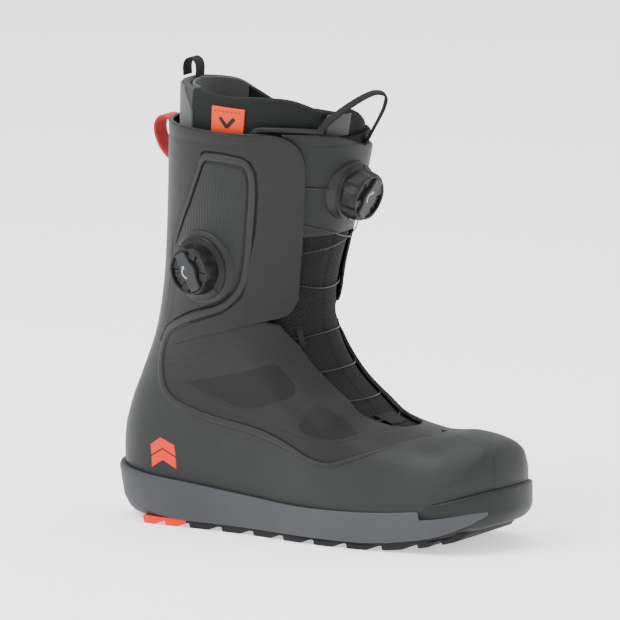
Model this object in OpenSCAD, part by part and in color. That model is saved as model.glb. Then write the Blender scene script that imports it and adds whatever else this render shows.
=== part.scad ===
// Snowboard boot for the right foot, with a lace dial at the side and one at the front.
// +X points to the toe, +Y to the inner (medial) side, +Z up. The origin is on the ground,
// under the middle of the sole. Millimetres.

/* [Sole] */
// Depth of the rubber tread blocks
lug_depth = 3; // [2:0.5:3.5]
// Length of one tread block
lug_length = 23; // [22:1:24]
// Gap between two tread blocks
lug_gap = 3; // [3:0.5:5]
// How far the foam midsole stands out from the upper
midsole_proud = 3.4; // [2.5:0.1:4]
// How far the sole curves up at the toe
toe_spring = 15; // [8:1:16]

/* [Upper] */
// Height of the shell's collar above the ankle seam, as a level of the outline
collar_level = 14; // [13.8:0.1:14.2]
// Thickness of the shell panels
shell_thick = 2.4; // [1.6:0.1:2.4]
// Thickness of the overlays: cuff flaps and toe bumper
overlay_thick = 1.6; // [1:0.1:2]
// Thickness of the liner's foam
liner_thick = 5.6; // [4:0.1:6.4]

/* [Dials] */
// Radius of a dial's knob
knob_r = 17.6; // [17:0.1:19]
// Height of a dial above its collar
dial_h = 15.5; // [14:0.5:18]
// Radius of the pin that a spool turns on
pin_r = 2.5; // [2:0.1:3]
// Radial running clearance of a spool on its pin
running = 0.05; // [0.03:0.01:0.09]

/* [Laces] */
// Radius of the steel lace cable
cable_r = 0.4; // [0.3:0.05:0.4]
// Thickness of the webbing in the pull loops
webbing_thick = 1.6; // [1.2:0.1:2]

/* [Hidden] */
$fn = 48;

// ---- Outline of the boot, seen from the side -------------------------------------------
// x of the heel line at each height: [z, x]
BACK = [[0, -146], [30, -149], [60, -149], [80, -144], [100, -136], [130, -124.5],
        [165, -118], [200, -115], [245, -113], [330, -111]];
// The front line, level by level, from the tip of the toe over the instep to the top: [x, z]
FRONT = [[147, 22], [148, 40], [146, 56], [137, 69], [115, 76], [88, 77], [56, 85], [40, 97.5],
         [24, 113], [13, 131], [8, 150], [10, 175], [18, 205], [27, 240], [34, 275],
         [38, 300], [41, 325]];
// Height of the heel line at each level
BACK_Z = [[0, 23], [1, 36], [2, 46], [3, 56], [4, 66], [5, 76], [6, 88], [7, 98], [8, 109],
          [9, 123], [10, 140], [11, 165], [12, 200], [13, 240], [14, 278], [15, 302], [16, 328]];
// Half widths of the foot along x, outer and inner side, and of the shaft along z
FOOT_OUT = [[-150, 38], [-110, 40], [-70, 40], [-30, 43], [15, 51], [50, 54], [85, 53], [150, 50]];
FOOT_IN = [[-150, 38], [-110, 39], [-70, 38], [-30, 39], [15, 46], [50, 52], [85, 54], [150, 50]];
SHAFT = [[100, 44], [150, 47], [190, 51], [240, 55], [300, 58]];
// Distance over which the heel and the front round off, along z
ROUND_BACK = [[0, 44], [60, 46], [120, 56], [170, 66], [300, 72]];
ROUND_FRONT = [[0, 62], [45, 60], [75, 38], [110, 46], [150, 62], [300, 72]];
ROUNDNESS = 2.2;

function clamp(v, lo, hi) = min(max(v, lo), hi);
function mix(a, b, t) = a + (b - a) * t;
function smooth(a, b, v) = let (t = clamp((v - a) / (b - a), 0, 1)) t * t * (3 - 2 * t);
function hermite(a, b, ma, mb, t) =
  (2 * t^3 - 3 * t^2 + 1) * a + (t^3 - 2 * t^2 + t) * ma
  + (3 * t^2 - 2 * t^3) * b + (t^3 - t^2) * mb;
function span_of(p, x, i = 0) = i >= len(p) - 2 || x < p[i + 1][0] ? i : span_of(p, x, i + 1);
function slope(p, i) =
  let (a = p[max(i - 1, 0)], b = p[min(i + 1, len(p) - 1)]) (b[1] - a[1]) / (b[0] - a[0]);
// A smooth curve through the points [x, y] of p
function curve(p, x) =
  let (v = clamp(x, p[0][0], p[len(p) - 1][0]), i = span_of(p, v), h = p[i + 1][0] - p[i][0])
  hermite(p[i][1], p[i + 1][1], slope(p, i) * h, slope(p, i + 1) * h, (v - p[i][0]) / h);
function tangent(p, i) = (p[min(i + 1, len(p) - 1)] - p[max(i - 1, 0)]) / (i % (len(p) - 1) == 0 ? 1 : 2);
// A smooth curve through the points of p, t counted in points
function path(p, t) =
  let (v = clamp(t, 0, len(p) - 1), i = min(floor(v), len(p) - 2))
  hermite(p[i], p[i + 1], tangent(p, i), tangent(p, i + 1), v - i);

FRONT_LINE = [for (k = [0:3 * (len(FRONT) - 1)]) path(FRONT, k / 3)];
function line_dist(q, a, b) =
  let (ab = b - a) norm(q - a - ab * clamp((q - a) * ab / (ab * ab), 0, 1));
function front_dist(q) =
  min([for (k = [0:len(FRONT_LINE) - 2]) line_dist(q, FRONT_LINE[k], FRONT_LINE[k + 1])]);
function heel_x(z) = curve(BACK, z);
function shoulder(d, r) = let (u = 1 - clamp(d / r, 0, 1)) (1 - u^ROUNDNESS)^(1 / ROUNDNESS);
function full_width(q, outer) =
  mix(curve(outer ? FOOT_OUT : FOOT_IN, q[0]), curve(SHAFT, q[1]), smooth(45, 150, q[1]));
function rounding(q) =
  shoulder(q[0] - heel_x(q[1]), curve(ROUND_BACK, q[1])) * shoulder(front_dist(q), curve(ROUND_FRONT, q[1]));
// The toe swings to the inner side
function centre_y(x) = 7 * clamp((x + 10) / 160, 0, 1.2)^2;

// A point of the boot's skin. phi runs round from the heel (0) over the outer side (90) and the
// front (180); level runs up the outline; out is the distance outside the skin.
function skin(phi, level, out = 0) =
  let (z = curve(BACK_Z, level), heel = [heel_x(z), z], front = path(FRONT, level),
       run = path(FRONT, level + 0.05) - path(FRONT, level - 0.05),
       ahead = [run[1], -run[0]] / norm(run), a = (1 - cos(phi)) / 2,
       q = mix(heel, front, a), outer = sin(phi) > 0, w = full_width(q, outer),
       y = w * rounding(q) * (1 + out / w), p = mix(heel - [out, 0], front + ahead * out, a))
  [p[0], (outer ? -y : y) + centre_y(p[0]), p[1]];

// ---- Solids that follow the skin ---------------------------------------------------------
function steps(n) = [for (i = [0:n]) i / n];
function split(q) = [[q[0], q[1], q[2]], [q[0], q[2], q[3]]];

// A panel: at(u, v) gives [phi, level], and lo(u, v) and hi(u, v) its inner and outer distance
module panel(us, vs, at, lo, hi, closed = false) {
  nu = len(us);
  nv = len(vs);
  grid = nu * nv;
  turns = closed ? nu - 1 : nu - 2;
  outer = [for (v = vs) for (u = us) let (a = at(u, v)) skin(a[0], a[1], hi(u, v))];
  inner = [for (v = vs) for (u = us) let (a = at(u, v)) skin(a[0], a[1], lo(u, v))];
  quads = [
    for (j = [0:nv - 2]) for (i = [0:turns])
      let (k = (i + 1) % nu)
      each [[j * nu + i, (j + 1) * nu + i, (j + 1) * nu + k, j * nu + k],
            [grid + j * nu + k, grid + (j + 1) * nu + k, grid + (j + 1) * nu + i, grid + j * nu + i]],
    for (i = [0:turns])
      let (k = (i + 1) % nu, t = (nv - 1) * nu)
      each [[i, k, grid + k, grid + i], [t + k, t + i, grid + t + i, grid + t + k]],
    for (j = [0:nv - 2]) if (!closed)
      let (a = j * nu, b = (j + 1) * nu, e = nu - 1)
      each [[b, a, grid + a, grid + b], [a + e, b + e, grid + b + e, grid + a + e]]
  ];
  polyhedron(concat(outer, inner), [for (q = quads) each split(q)], convexity = 8);
}

function flat(d) = function (u, v) d;

// A panel between two angles and two levels
module sector(phi0, phi1, level0, level1, lo, hi, nu = 8, nv = 6)
  panel(steps(nu), steps(nv),
        function (u, v) [mix(phi0, phi1, u), mix(level0, level1, v)], flat(lo), flat(hi));

// A panel whose lower and upper edges are curves of phi
module band(phis, low, high, nv, lo, hi) {
  last = len(phis) - 1;
  panel(steps(last), steps(nv),
        function (u, v) let (p = phis[round(u * last)]) [p, mix(low(p), high(p), v)],
        flat(lo), flat(hi));
}

// A panel whose rear and front edges are curves of the level
module strip(levels, rear, front, nu, lo, hi) {
  last = len(levels) - 1;
  panel(steps(nu), steps(last),
        function (u, v) let (l = levels[round(v * last)]) [mix(rear(l), front(l), u), l],
        flat(lo), flat(hi));
}

// Rings of equal length joined into one solid, closed at both ends
module stack(rings) {
  n = len(rings[0]);
  m = len(rings);
  half = n / 2;
  walls = [for (j = [0:m - 2]) for (i = [0:n - 1]) let (k = (i + 1) % n)
             [j * n + i, (j + 1) * n + i, (j + 1) * n + k, j * n + k]];
  first = [for (i = [0:half - 1]) [i, i + 1, (n - i - 1) % n, (n - i) % n]];
  last = [for (i = [0:half - 1]) [(m - 1) * n + (n - i) % n, (m - 1) * n + (n - i - 1) % n,
                                  (m - 1) * n + i + 1, (m - 1) * n + i]];
  function corners(q) = [for (i = [0:3]) if (q[i] != q[(i + 1) % 4]) q[i]];
  faces = [for (q = concat(walls, first, last)) let (c = corners(q))
             each len(c) == 3 ? [c] : split(c)];
  polyhedron([for (r = rings) each r], faces, convexity = 8);
}

function ring(level, out, n = 36) = [for (i = [0:n - 1]) skin(i * 360 / n, level, out)];
function outline(level, out, n = 60) = [for (p = ring(level, out, n)) [p[0], p[1]]];

// A tube of radius r along the points of p
module tube(p, r, sides = 6) {
  n = len(p);
  function along(i) = let (d = p[min(i + 1, n - 1)] - p[max(i - 1, 0)]) d / norm(d);
  function side(i) = let (s = cross(along(i), [0.3, 0.2, 1])) s / norm(s);
  pts = [for (i = [0:n - 1]) let (s = side(i), t = cross(s, along(i))) for (k = [0:sides - 1])
           p[i] + r * (cos(k * 360 / sides) * s + sin(k * 360 / sides) * t)];
  walls = [for (i = [0:n - 2]) for (k = [0:sides - 1]) let (m = (k + 1) % sides)
             [i * sides + k, i * sides + m, (i + 1) * sides + m, (i + 1) * sides + k]];
  ends = [[for (k = [sides - 1:-1:0]) k], [for (k = [0:sides - 1]) (n - 1) * sides + k]];
  polyhedron(pts, concat([for (q = walls) each split(q)], ends), convexity = 10);
}

// Flat webbing of the given width along the points of p; across is the direction of its width
module webbing(p, across, width, thick) {
  n = len(p);
  function along(i) = let (d = p[min(i + 1, n - 1)] - p[max(i - 1, 0)]) d / norm(d);
  pts = [for (i = [0:n - 1])
           let (w = across * width / 2, t = cross(across, along(i)) * thick / 2)
           each [p[i] - w - t, p[i] + w - t, p[i] + w + t, p[i] - w + t]];
  walls = [for (i = [0:n - 2]) for (k = [0:3]) let (m = (k + 1) % 4)
             [i * 4 + k, i * 4 + m, i * 4 + 4 + m, i * 4 + 4 + k]];
  ends = [[3, 2, 1, 0], [for (k = [0:3]) (n - 1) * 4 + k]];
  polyhedron(pts, [for (q = concat(walls, ends)) each split(q)], convexity = 6);
}

// ---- Distances of the layers from the skin, outside counted positive ----------------------
SHELL_OUT = -0.8;
SHELL_IN = SHELL_OUT - shell_thick;
OVERLAY_IN = 0.7;
OVERLAY_OUT = OVERLAY_IN + overlay_thick;
STIFFENER_OUT = SHELL_IN - 1.7;
STIFFENER_IN = STIFFENER_OUT - 1;
TONGUE_OUT = SHELL_IN - 1.6;
TONGUE_IN = TONGUE_OUT - 1.2;
HARNESS_OUT = TONGUE_IN - 0.7;
HARNESS_IN = HARNESS_OUT - 0.9;
LINER_OUT = HARNESS_IN - 1;
LINER_IN = LINER_OUT - liner_thick;
LINING_OUT = LINER_IN - 1.8;
LINING_IN = LINING_OUT - 0.8;
SEAM = 0.35;
REAR_PHI = 46;
TOE_PHI = 100;
// Angles of the panels' columns, the same on both sides of a seam
COLUMNS = [46.4, 52, 58, 63, 68, 75, 81, 89, 95, 99.7, 105, 113, 119, 125, 133, 141, 147, 153,
           156, 158, 160, 165, 172, 179.8];

// Level of the seam between the quarters above and the foxing and toe box below, by angle
SEAM_LINE = [[46, 6.9], [52, 6.7], [58, 5.9], [68, 5.3], [81, 4.6], [89, 3.7], [95, 2.7],
             [100, 2.3], [105, 2.2], [113, 2.7], [124, 3.2], [138, 3.8], [180, 4.9]];
// Level of the quarters' upper edge, down the throat to the front, by angle
THROAT_LINE = [[46, 10], [125, 10], [133, 9.9], [145, 9.1], [153, 8], [158, 6.9], [160, 5.6],
               [165, 5.45], [180, 5.45]];
// Angle of the cuff flap's front edge, by level
FLAP_EDGE = [[10.1, 133], [10.24, 140.5], [10.5, 144], [11, 145], [12, 141.5], [12.75, 138],
             [13.3, 136], [13.6, 133.8], [13.83, 129.4], [14, 122], [14.07, 114]];
FLAP_HINGE_PHI = 111;
// The side recess that holds the dial panel: angle of its rear and front edge, by level
RECESS_REAR = [[9.2, 47], [10, 51], [11, 57], [12, 63], [13, 70], [13.3, 74]];
RECESS_FRONT = [[9.2, 49], [9.7, 62], [10.1, 82], [10.5, 98], [11, 105], [12, 106], [13, 104],
                [13.3, 95]];

function folded(phi) = phi > 180 ? 360 - phi : phi;
function seam_level(phi) = curve(SEAM_LINE, folded(phi));
function throat_level(phi) = curve(THROAT_LINE, folded(phi));
function flap_edge(l) = curve(FLAP_EDGE, l);

// ---- Sole ------------------------------------------------------------------------------
TREAD_TOP = 5;
FOAM_TOP = 24;
SPRING_START = 60;
SOLE_LEVEL = 0.8;
BUMPER_START = 92;
function spring(x) = toe_spring * clamp((x - SPRING_START) / 90, 0, 1)^1.7;
function sole_stations(x0, x1, n = 16) = [for (i = [0:n]) mix(x0, x1, i / n)];

// Everything between two outlines seen from the side, cut to an outline seen from above
module side_cut(profile, plan) {
  intersection() {
    translate([0, 90, 0]) rotate([90, 0, 0]) linear_extrude(180) polygon(profile);
    translate([0, 0, -2]) linear_extrude(60) polygon(plan);
  }
}

// The front end of each block slopes by this much
LUG_SLANT = 3;
function tread_profile(x0, x1) =
  concat([for (x = sole_stations(x1, x0)) [x, TREAD_TOP + spring(x)]],
         [for (x = [x0:lug_length + lug_gap:x1 - lug_length])
            each [[x, spring(x)], [x + lug_length - LUG_SLANT, spring(x + lug_length)],
                  [x + lug_length, spring(x + lug_length) + lug_depth],
                  [x + lug_length + lug_gap, spring(x + lug_length + lug_gap) + lug_depth]]]);

TREAD_START = -82;
TREAD_END = 152;
module outsole() {
  color("#2b2b2c")
  difference() {
    side_cut(tread_profile(TREAD_START, TREAD_END), outline(SOLE_LEVEL, 0.8));
    for (y = [-22, 22])
      translate([TREAD_START - 5, y - lug_gap / 2, -1])
        cube([SPRING_START - TREAD_START - 15, lug_gap, 1 + lug_depth]);
  }
}

// Rear ends of the two orange blocks under the heel, and their length
HEEL_BLOCKS = [-124, -103];
HEEL_BLOCK = 20;
module heel_tread() {
  color("#e6553a")
  for (x = HEEL_BLOCKS)
    side_cut([[x, 0], [x + HEEL_BLOCK - LUG_SLANT, 0], [x + HEEL_BLOCK, lug_depth],
              [x + HEEL_BLOCK, TREAD_TOP], [x, TREAD_TOP]],
             outline(SOLE_LEVEL, 0.8));
}

// Height of the foam's side wall along x, and of the rubber bumper that takes over at the toe
FOAM_LINE = [[-154, 38.5], [-110, 34], [-88, 32], [-43, 28], [-2, 25.5], [34, 25.3], [77, 26.6],
             [BUMPER_START, 28]];
// The foam's rounded end at the heel, down to the ground behind the tread: [x, z]
FOAM_HEEL = [[-126, TREAD_TOP + 0.35], [-126, 1.2], [-135, 1.4], [-141, 3], [-146, 6.5],
             [-149.5, 13], [-151.5, 24], [-154, 34]];
BUMPER_LINE = [[BUMPER_START, 31], [111, 37], [131, 42.5], [142, 45.4], [156, 46]];
FOAM_FLOOR = TREAD_TOP + SEAM;
UPPER_CLEARANCE = 2;
CUSHION_PLACE = [-95, 0, 8];
CUSHION_H = 10;
CUSHION_R = 24;
function underside(x0, x1) = [for (x = sole_stations(x0, x1)) [x, FOAM_FLOOR + spring(x)]];

module midsole() {
  wall = concat([for (x = sole_stations(-154, BUMPER_START)) [x, curve(FOAM_LINE, x)]],
                underside(BUMPER_START, -125), FOAM_HEEL);
  front = concat([[BUMPER_START - 5, FOAM_TOP], [156, FOAM_TOP]], underside(156, BUMPER_START - 5));
  color("#6b6e73")
  difference() {
    union() {
      side_cut(wall, outline(SOLE_LEVEL, midsole_proud));
      side_cut(front, outline(1, 0));
    }
    translate([0, 0, FOAM_TOP]) linear_extrude(30) polygon(outline(1, UPPER_CLEARANCE));
    translate(CUSHION_PLACE) cylinder(h = CUSHION_H, r = CUSHION_R);
  }
}

module heel_cushion() {
  color("#58595c") translate(CUSHION_PLACE + [0, 0, 0.2]) cylinder(h = CUSHION_H - 0.4, r = CUSHION_R - 0.3);
}

module toe_bumper() {
  x0 = BUMPER_START + SEAM;
  profile = concat([for (x = sole_stations(x0, 156)) [x, curve(BUMPER_LINE, x)]], underside(156, x0));
  color("#2d2d2e")
  difference() {
    side_cut(profile, outline(SOLE_LEVEL, midsole_proud - 0.4));
    translate([0, 0, 5]) linear_extrude(60) polygon(outline(1, UPPER_CLEARANCE));
  }
}

module lasting_board() {
  color("#b9a78a")
  translate([0, 0, FOAM_TOP + 0.2]) linear_extrude(1.5) polygon(outline(0.3, SHELL_IN - 1));
}

// ---- Shell -----------------------------------------------------------------------------
module rear_shell() {
  color("#484a4a")
  sector(-REAR_PHI, REAR_PHI, 0.2, collar_level, SHELL_IN, SHELL_OUT + 0.6, 10, 14);
}

module foxing(side) {
  phis = [for (p = COLUMNS) if (p < TOE_PHI) p];
  n = len(phis) - 1;
  phis_of_side = side > 0 ? phis : [for (i = [n:-1:0]) 360 - phis[i]];
  color("#474949")
  band(phis_of_side, function (p) 0.2, function (p) seam_level(p) - 0.03, 4, SHELL_IN, SHELL_OUT);
}
module lateral_foxing() foxing(1);
module medial_foxing() foxing(-1);

module toe_box() {
  half = [for (p = COLUMNS) if (p > TOE_PHI && p < 179) p];
  n = len(half) - 1;
  color("#464848")
  band(concat([TOE_PHI + SEAM], half, [180], [for (i = [n:-1:0]) 360 - half[i]],
              [360 - TOE_PHI - SEAM]), function (p) 0.2, function (p) seam_level(p) - 0.03, 5,
       SHELL_IN, SHELL_OUT);
}

module quarter(side) {
  n = len(COLUMNS) - 1;
  phis = side > 0 ? COLUMNS : [for (i = [n:-1:0]) 360 - COLUMNS[i]];
  color("#434545")
  band(phis, function (p) seam_level(p) + 0.03, function (p) throat_level(p), 5,
       SHELL_IN, SHELL_OUT);
}
module lateral_quarter() quarter(1);
module medial_quarter() quarter(-1);

CUFF_OUT = SHELL_OUT - 0.5;
CUFF_LEVELS = [10.04, 10.5, 11, 12, 13, 13.5, 13.9];
module cuff(side) {
  near = function (l) REAR_PHI + SEAM;
  far = function (l) min(flap_edge(l) - 3, 138);
  color("#3f4040")
  if (side > 0) strip(CUFF_LEVELS, near, far, 8, SHELL_IN, CUFF_OUT);
  else strip(CUFF_LEVELS, function (l) 360 - far(l), function (l) 360 - near(l), 8,
             SHELL_IN, CUFF_OUT);
}
module lateral_cuff() cuff(1);
module medial_cuff() cuff(-1);

module outer_tongue() {
  color("#3a3b3b") sector(128, 232, 5.1, 13.95, TONGUE_IN, TONGUE_OUT, 10, 16);
}

SHIELD_LEVELS = [12.05, 12.3, 12.9, 13.4, 13.8, 14.05];
module front_shield() {
  color("#3d3e3e")
  strip(SHIELD_LEVELS, function (l) 139.5, function (l) 220.5, 10, SHELL_IN - 0.2, SHELL_OUT - 0.6);
}

module heel_counter() {
  color("#8d8f90") sector(-58, 58, 0.5, 6, STIFFENER_IN, STIFFENER_OUT, 8, 6);
}

module toe_puff() {
  color("#8d8f90") sector(126, 234, 0.5, 4.2, STIFFENER_IN, STIFFENER_OUT, 12, 5);
}

FLAP_LEVELS = [10.12, 10.24, 10.5, 11, 12, 12.75, 13.3, 13.6, 13.83, 14, 14.07];
module flap(side) {
  hinge = function (l) FLAP_HINGE_PHI;
  color("#414343")
  if (side > 0) strip(FLAP_LEVELS, hinge, function (l) flap_edge(l), 6, OVERLAY_IN, OVERLAY_OUT);
  else strip(FLAP_LEVELS, function (l) 360 - flap_edge(l), function (l) 360 - FLAP_HINGE_PHI, 6,
             OVERLAY_IN, OVERLAY_OUT);
}
module lateral_flap() flap(1);
module medial_flap() flap(-1);

RECESS_IN = -0.7;
RECESS_OUT = 0.1;
RECESS_LEVELS = [10.05, 10.6, 11.2, 12, 12.7, 13.3];
module recess_panel(side) {
  rear = function (l) curve(RECESS_REAR, l);
  front = function (l) curve(RECESS_FRONT, l);
  color("#494b4b")
  if (side > 0) strip(RECESS_LEVELS, rear, front, 6, RECESS_IN, RECESS_OUT);
  else strip(RECESS_LEVELS, function (l) 360 - front(l), function (l) 360 - rear(l), 6, RECESS_IN,
             RECESS_OUT);
}
module dial_panel() recess_panel(1);
module medial_panel() recess_panel(-1);

// The rib round the recess: over the top, down the front edge and back along the bottom
PIPING = [[68, 13.25], [72, 13.45], [76, 13.55], [86, 13.55], [97, 13.5], [103, 13.4],
          [106.6, 13.1], [107.6, 12.6], [108, 12], [108, 11.5], [107.2, 11.1], [104, 10.8],
          [93, 10.4], [80, 10.2]];
module piping(side) {
  color("#505252")
  tube([for (t = [0:0.5:len(PIPING) - 1])
          let (a = path(PIPING, t)) skin(side > 0 ? a[0] : 360 - a[0], a[1], OVERLAY_OUT - 0.6)], 0.9);
}
module lateral_piping() piping(1);
module medial_piping() piping(-1);

WINDOW_IN = 0.4;
WINDOW_OUT = 0.9;
function turned(phi, side) = side > 0 ? phi : 360 - phi;
// Thin inserts in the quarters, two on each side
module quarter_windows() {
  color("#383939")
  for (side = [1, -1]) {
    panel(steps(10), steps(4),
          function (u, v)
            let (p = mix(mix(66, 96, v * 0.6), mix(112, 131, v), side > 0 ? u : 1 - u))
            [turned(p, side), mix(6.6, 8.4, v)],
          flat(WINDOW_IN), flat(WINDOW_OUT));
    panel(steps(8), steps(4),
          function (u, v) let (p = mix(112, 143, side > 0 ? u : 1 - u))
            [turned(p, side), mix(mix(4.6, 5.8, (p - 108) / 60), 6.3, v)],
          flat(WINDOW_IN), flat(WINDOW_OUT));
  }
}

// A plain double chevron at the heel
module heel_mark() {
  color("#e6553a")
  for (level = [1.75, 2.55])
    panel(steps(4), steps(1),
          function (u, v) [mix(42, 52, u), level + 0.7 * v - 0.5 * abs(2 * u - 1)], flat(0.1), flat(0.6));
}

// ---- Lacing ----------------------------------------------------------------------------
// A fabric tunnel over the cable's turn, sewn down above and below it
module guide(phi0, phi1, level0, level1, base) {
  feet = [0, 0.1, 0.11, 0.89, 0.9, 1];
  panel(steps(3), feet, function (u, v) [mix(phi0, phi1, u), mix(level0, level1, v)],
        function (u, v) v > 0.105 && v < 0.895 ? base + 1.15 : base + 0.1,
        function (u, v) base + 1.45);
}

CUFF_GUIDES = [[12.1, 13.32], [10.63, 11.97]];
QUARTER_GUIDES = [[9.0, 9.6, 134, 140], [6.75, 8.3, 143, 149]];
module guides(side) {
  color("#303131") {
    for (g = CUFF_GUIDES)
      if (side > 0) guide(127, 133, g[0], g[1], CUFF_OUT + 0.2);
      else guide(227, 233, g[0], g[1], CUFF_OUT + 0.2);
    for (g = QUARTER_GUIDES)
      if (side > 0) guide(g[2], g[3], g[0], g[1], SHELL_OUT + 1.1);
      else guide(360 - g[3], 360 - g[2], g[0], g[1], SHELL_OUT + 1.1);
  }
}
module lateral_guides() guides(1);
module medial_guides() guides(-1);

module toe_lace_loop() {
  color("#303131") guide(172, 186, 5.72, 6.28, TONGUE_OUT + 0.4);
}

// The routes of the two lace cables: [phi, level, distance from the skin], a point a turn
HUG = -0.68;
ON_TONGUE = TONGUE_OUT + cable_r + 0.95;
ON_SHIELD = 0.1;
UPPER_ROUTE = [[163, 12.98, ON_SHIELD], [150, 13.0, ON_SHIELD], [139, 13.03, HUG], [131, 13.04, HUG],
               [128.5, 12.9, HUG], [128.5, 12.5, HUG], [131, 12.36, HUG], [139, 12.31, HUG],
               [150, 12.22, ON_SHIELD], [165, 12.1, ON_SHIELD], [180, 11.95, -1.4], [195, 11.85, -1.8],
               [210, 11.77, -1.2], [221, 11.72, HUG], [229, 11.7, HUG], [231.5, 11.5, HUG],
               [231.5, 11.1, HUG], [229, 10.95, HUG], [222, 10.9, -0.8], [212, 10.82, -2.8],
               [195, 10.75, ON_TONGUE], [180, 10.72, ON_TONGUE], [165, 10.76, ON_TONGUE],
               [148, 10.88, -2.6], [139, 10.92, -0.8], [131, 10.95, HUG], [128.5, 11.1, HUG],
               [128.5, 11.5, HUG], [131, 11.66, HUG], [139, 11.68, HUG], [150, 11.7, -1.2],
               [165, 11.74, -1.8], [180, 11.8, -2.6], [195, 11.98, -1], [210, 12.15, ON_SHIELD],
               [221, 12.28, ON_SHIELD], [229, 12.36, HUG], [231.5, 12.5, HUG], [231.5, 12.9, HUG],
               [229, 13.04, HUG], [221, 13.03, HUG], [210, 13.0, ON_SHIELD], [199, 12.98, ON_SHIELD]];
module upper_lace() {
  color("#a0a2a4")
  tube([for (t = [0:0.5:len(UPPER_ROUTE) - 1])
          let (a = path(UPPER_ROUTE, t)) skin(a[0], a[1], a[2])], cable_r);
}

UNDER_SHELL = SHELL_IN - cable_r - 0.4;
LOWER_ROUTE = [[104, 10.6, UNDER_SHELL], [112, 10.2, UNDER_SHELL], [124, 9.7, UNDER_SHELL],
               [135, 9.42, UNDER_SHELL], [147, 9.35, UNDER_SHELL], [160, 9.4, ON_TONGUE],
               [180, 9.45, ON_TONGUE], [200, 9.45, ON_TONGUE], [213, 9.4, UNDER_SHELL],
               [220, 9.2, UNDER_SHELL], [220, 8.5, UNDER_SHELL], [213, 8.25, UNDER_SHELL],
               [203, 8.2, ON_TONGUE], [180, 8.2, ON_TONGUE], [157, 8.15, ON_TONGUE],
               [147, 8.1, UNDER_SHELL], [141, 7.8, UNDER_SHELL], [141, 7.3, UNDER_SHELL],
               [149, 7.0, UNDER_SHELL], [161, 6.98, ON_TONGUE], [180, 7.0, ON_TONGUE],
               [199, 6.98, ON_TONGUE], [211, 6.9, UNDER_SHELL], [218, 6.6, UNDER_SHELL],
               [217, 6.2, UNDER_SHELL], [208, 6.05, UNDER_SHELL], [198, 6.02, ON_TONGUE],
               [180, 6, ON_TONGUE], [167, 6.0, ON_TONGUE], [155, 5.95, UNDER_SHELL],
               [146, 5.8, UNDER_SHELL]];
module lower_lace() {
  color("#a0a2a4")
  tube([for (t = [0:0.5:len(LOWER_ROUTE) - 1])
          let (a = path(LOWER_ROUTE, t)) skin(a[0], a[1], a[2])], cable_r);
}

module ankle_harness() {
  color("#2f3030") sector(-150, 150, 9.7, 11.1, HARNESS_IN, HARNESS_OUT, 24, 2);
}

// ---- Liner -----------------------------------------------------------------------------
LINER_SPLIT = 7;
LINER_GAP_PHI = 146;
LINER_TOP = [[0, 15.1], [50, 15.05], [80, 14.95], [105, 15], [125, 14.95], [148, 14.6]];
LINER_TOP_IN = [[0, 15.1], [30, 14.97], [43, 14.84], [56, 14.5], [70, 14.2], [100, 14.1], [148, 14.1]];
function liner_top(phi) =
  let (p = (phi + 360) % 360) p > 180 ? curve(LINER_TOP_IN, 360 - p) : curve(LINER_TOP, p);

module liner_foot() {
  color("#3b3c3d")
  stack(concat([for (l = [0.45, 1, 2, 3, 4, 5, 6, LINER_SPLIT]) ring(l, LINER_OUT)],
               [for (l = [LINER_SPLIT, 6, 5, 4, 3, 2, 1, 0.75]) ring(l, LINER_IN)]));
}

module liner_cuff() {
  color("#3b3c3d")
  band(concat([-LINER_GAP_PHI], [for (p = [-140:10:140]) p], [LINER_GAP_PHI]),
       function (p) LINER_SPLIT + 0.03,
       function (p) liner_top(p), 9, LINER_IN, LINER_OUT);
}

// A felt-faced cap sewn over the top of the liner's back
module liner_heel_collar() {
  color("#4c4c4d")
  band([for (p = [-40:10:40]) p], function (p) 14.1, function (p) liner_top(p) - 0.02, 2,
       LINER_OUT + 0.5, LINER_OUT + 1.3);
}

module liner_tongue() {
  color("#353637") sector(147, 213, LINER_SPLIT + 0.05, 14.65, LINER_IN, LINER_OUT, 6, 12);
}

module liner_lining() {
  color("#2a2b2b")
  band(concat([-144], [for (p = [-140:10:140]) p], [144]), function (p) 1.3,
       function (p) liner_top(p) - 0.05, 14, LINING_IN, LINING_OUT);
}

module footbed() {
  color("#77797b")
  translate([0, 0, 36.4]) linear_extrude(3.5) polygon(outline(1, LINING_IN - 1));
}

module liner_tag() {
  color("#d2644a") sector(70, 90, 13.9, 14.65, LINER_OUT + 0.5, LINER_OUT + 1.3, 2, 2);
}

// ---- Webbing pull loops ------------------------------------------------------------------
HEEL_LOOP = [[-115.4, 0, 273], [-120, 0, 277], [-127, 0, 277], [-131.5, 0, 271], [-131, 0, 263],
             [-126.5, 0, 254.5], [-120.5, 0, 249], [-115.6, 0, 246.5]];
module heel_loop() {
  color("#d8443f")
  webbing([for (t = [0:0.5:7]) path(HEEL_LOOP, t)], [0, 1, 0], 16, webbing_thick);
}

LINER_LOOP = [[-106.2, 0, 306.6], [-107, 0, 311], [-105, 0, 315], [-101, 0, 316.4],
              [-97, 0, 315], [-95.2, 0, 311], [-95.6, 0, 306.6]];
module liner_loop() {
  color("#2c2c2d")
  webbing([for (t = [0:0.5:6]) path(LINER_LOOP, t)], [0, 1, 0], 14, webbing_thick);
}

// The strap rises at the tongue's outer corner, arches forwards and comes down at its middle
STRAP = [[18.5, -36.5, 281], [22, -31, 287], [28.5, -21, 294.5], [36, -12, 301], [43, -4, 304.5],
         [47.5, 2.5, 303.5], [48.5, 6, 299.5], [45.5, 8, 292], [41, 8.5, 285], [37, 8.3, 280]];
STRAP_ACROSS = [0.8, -0.5, -0.35];
module tongue_strap() {
  color("#333435")
  webbing([for (t = [0:0.5:9]) path(STRAP, t)], STRAP_ACROSS / norm(STRAP_ACROSS), 7, webbing_thick);
}

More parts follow.
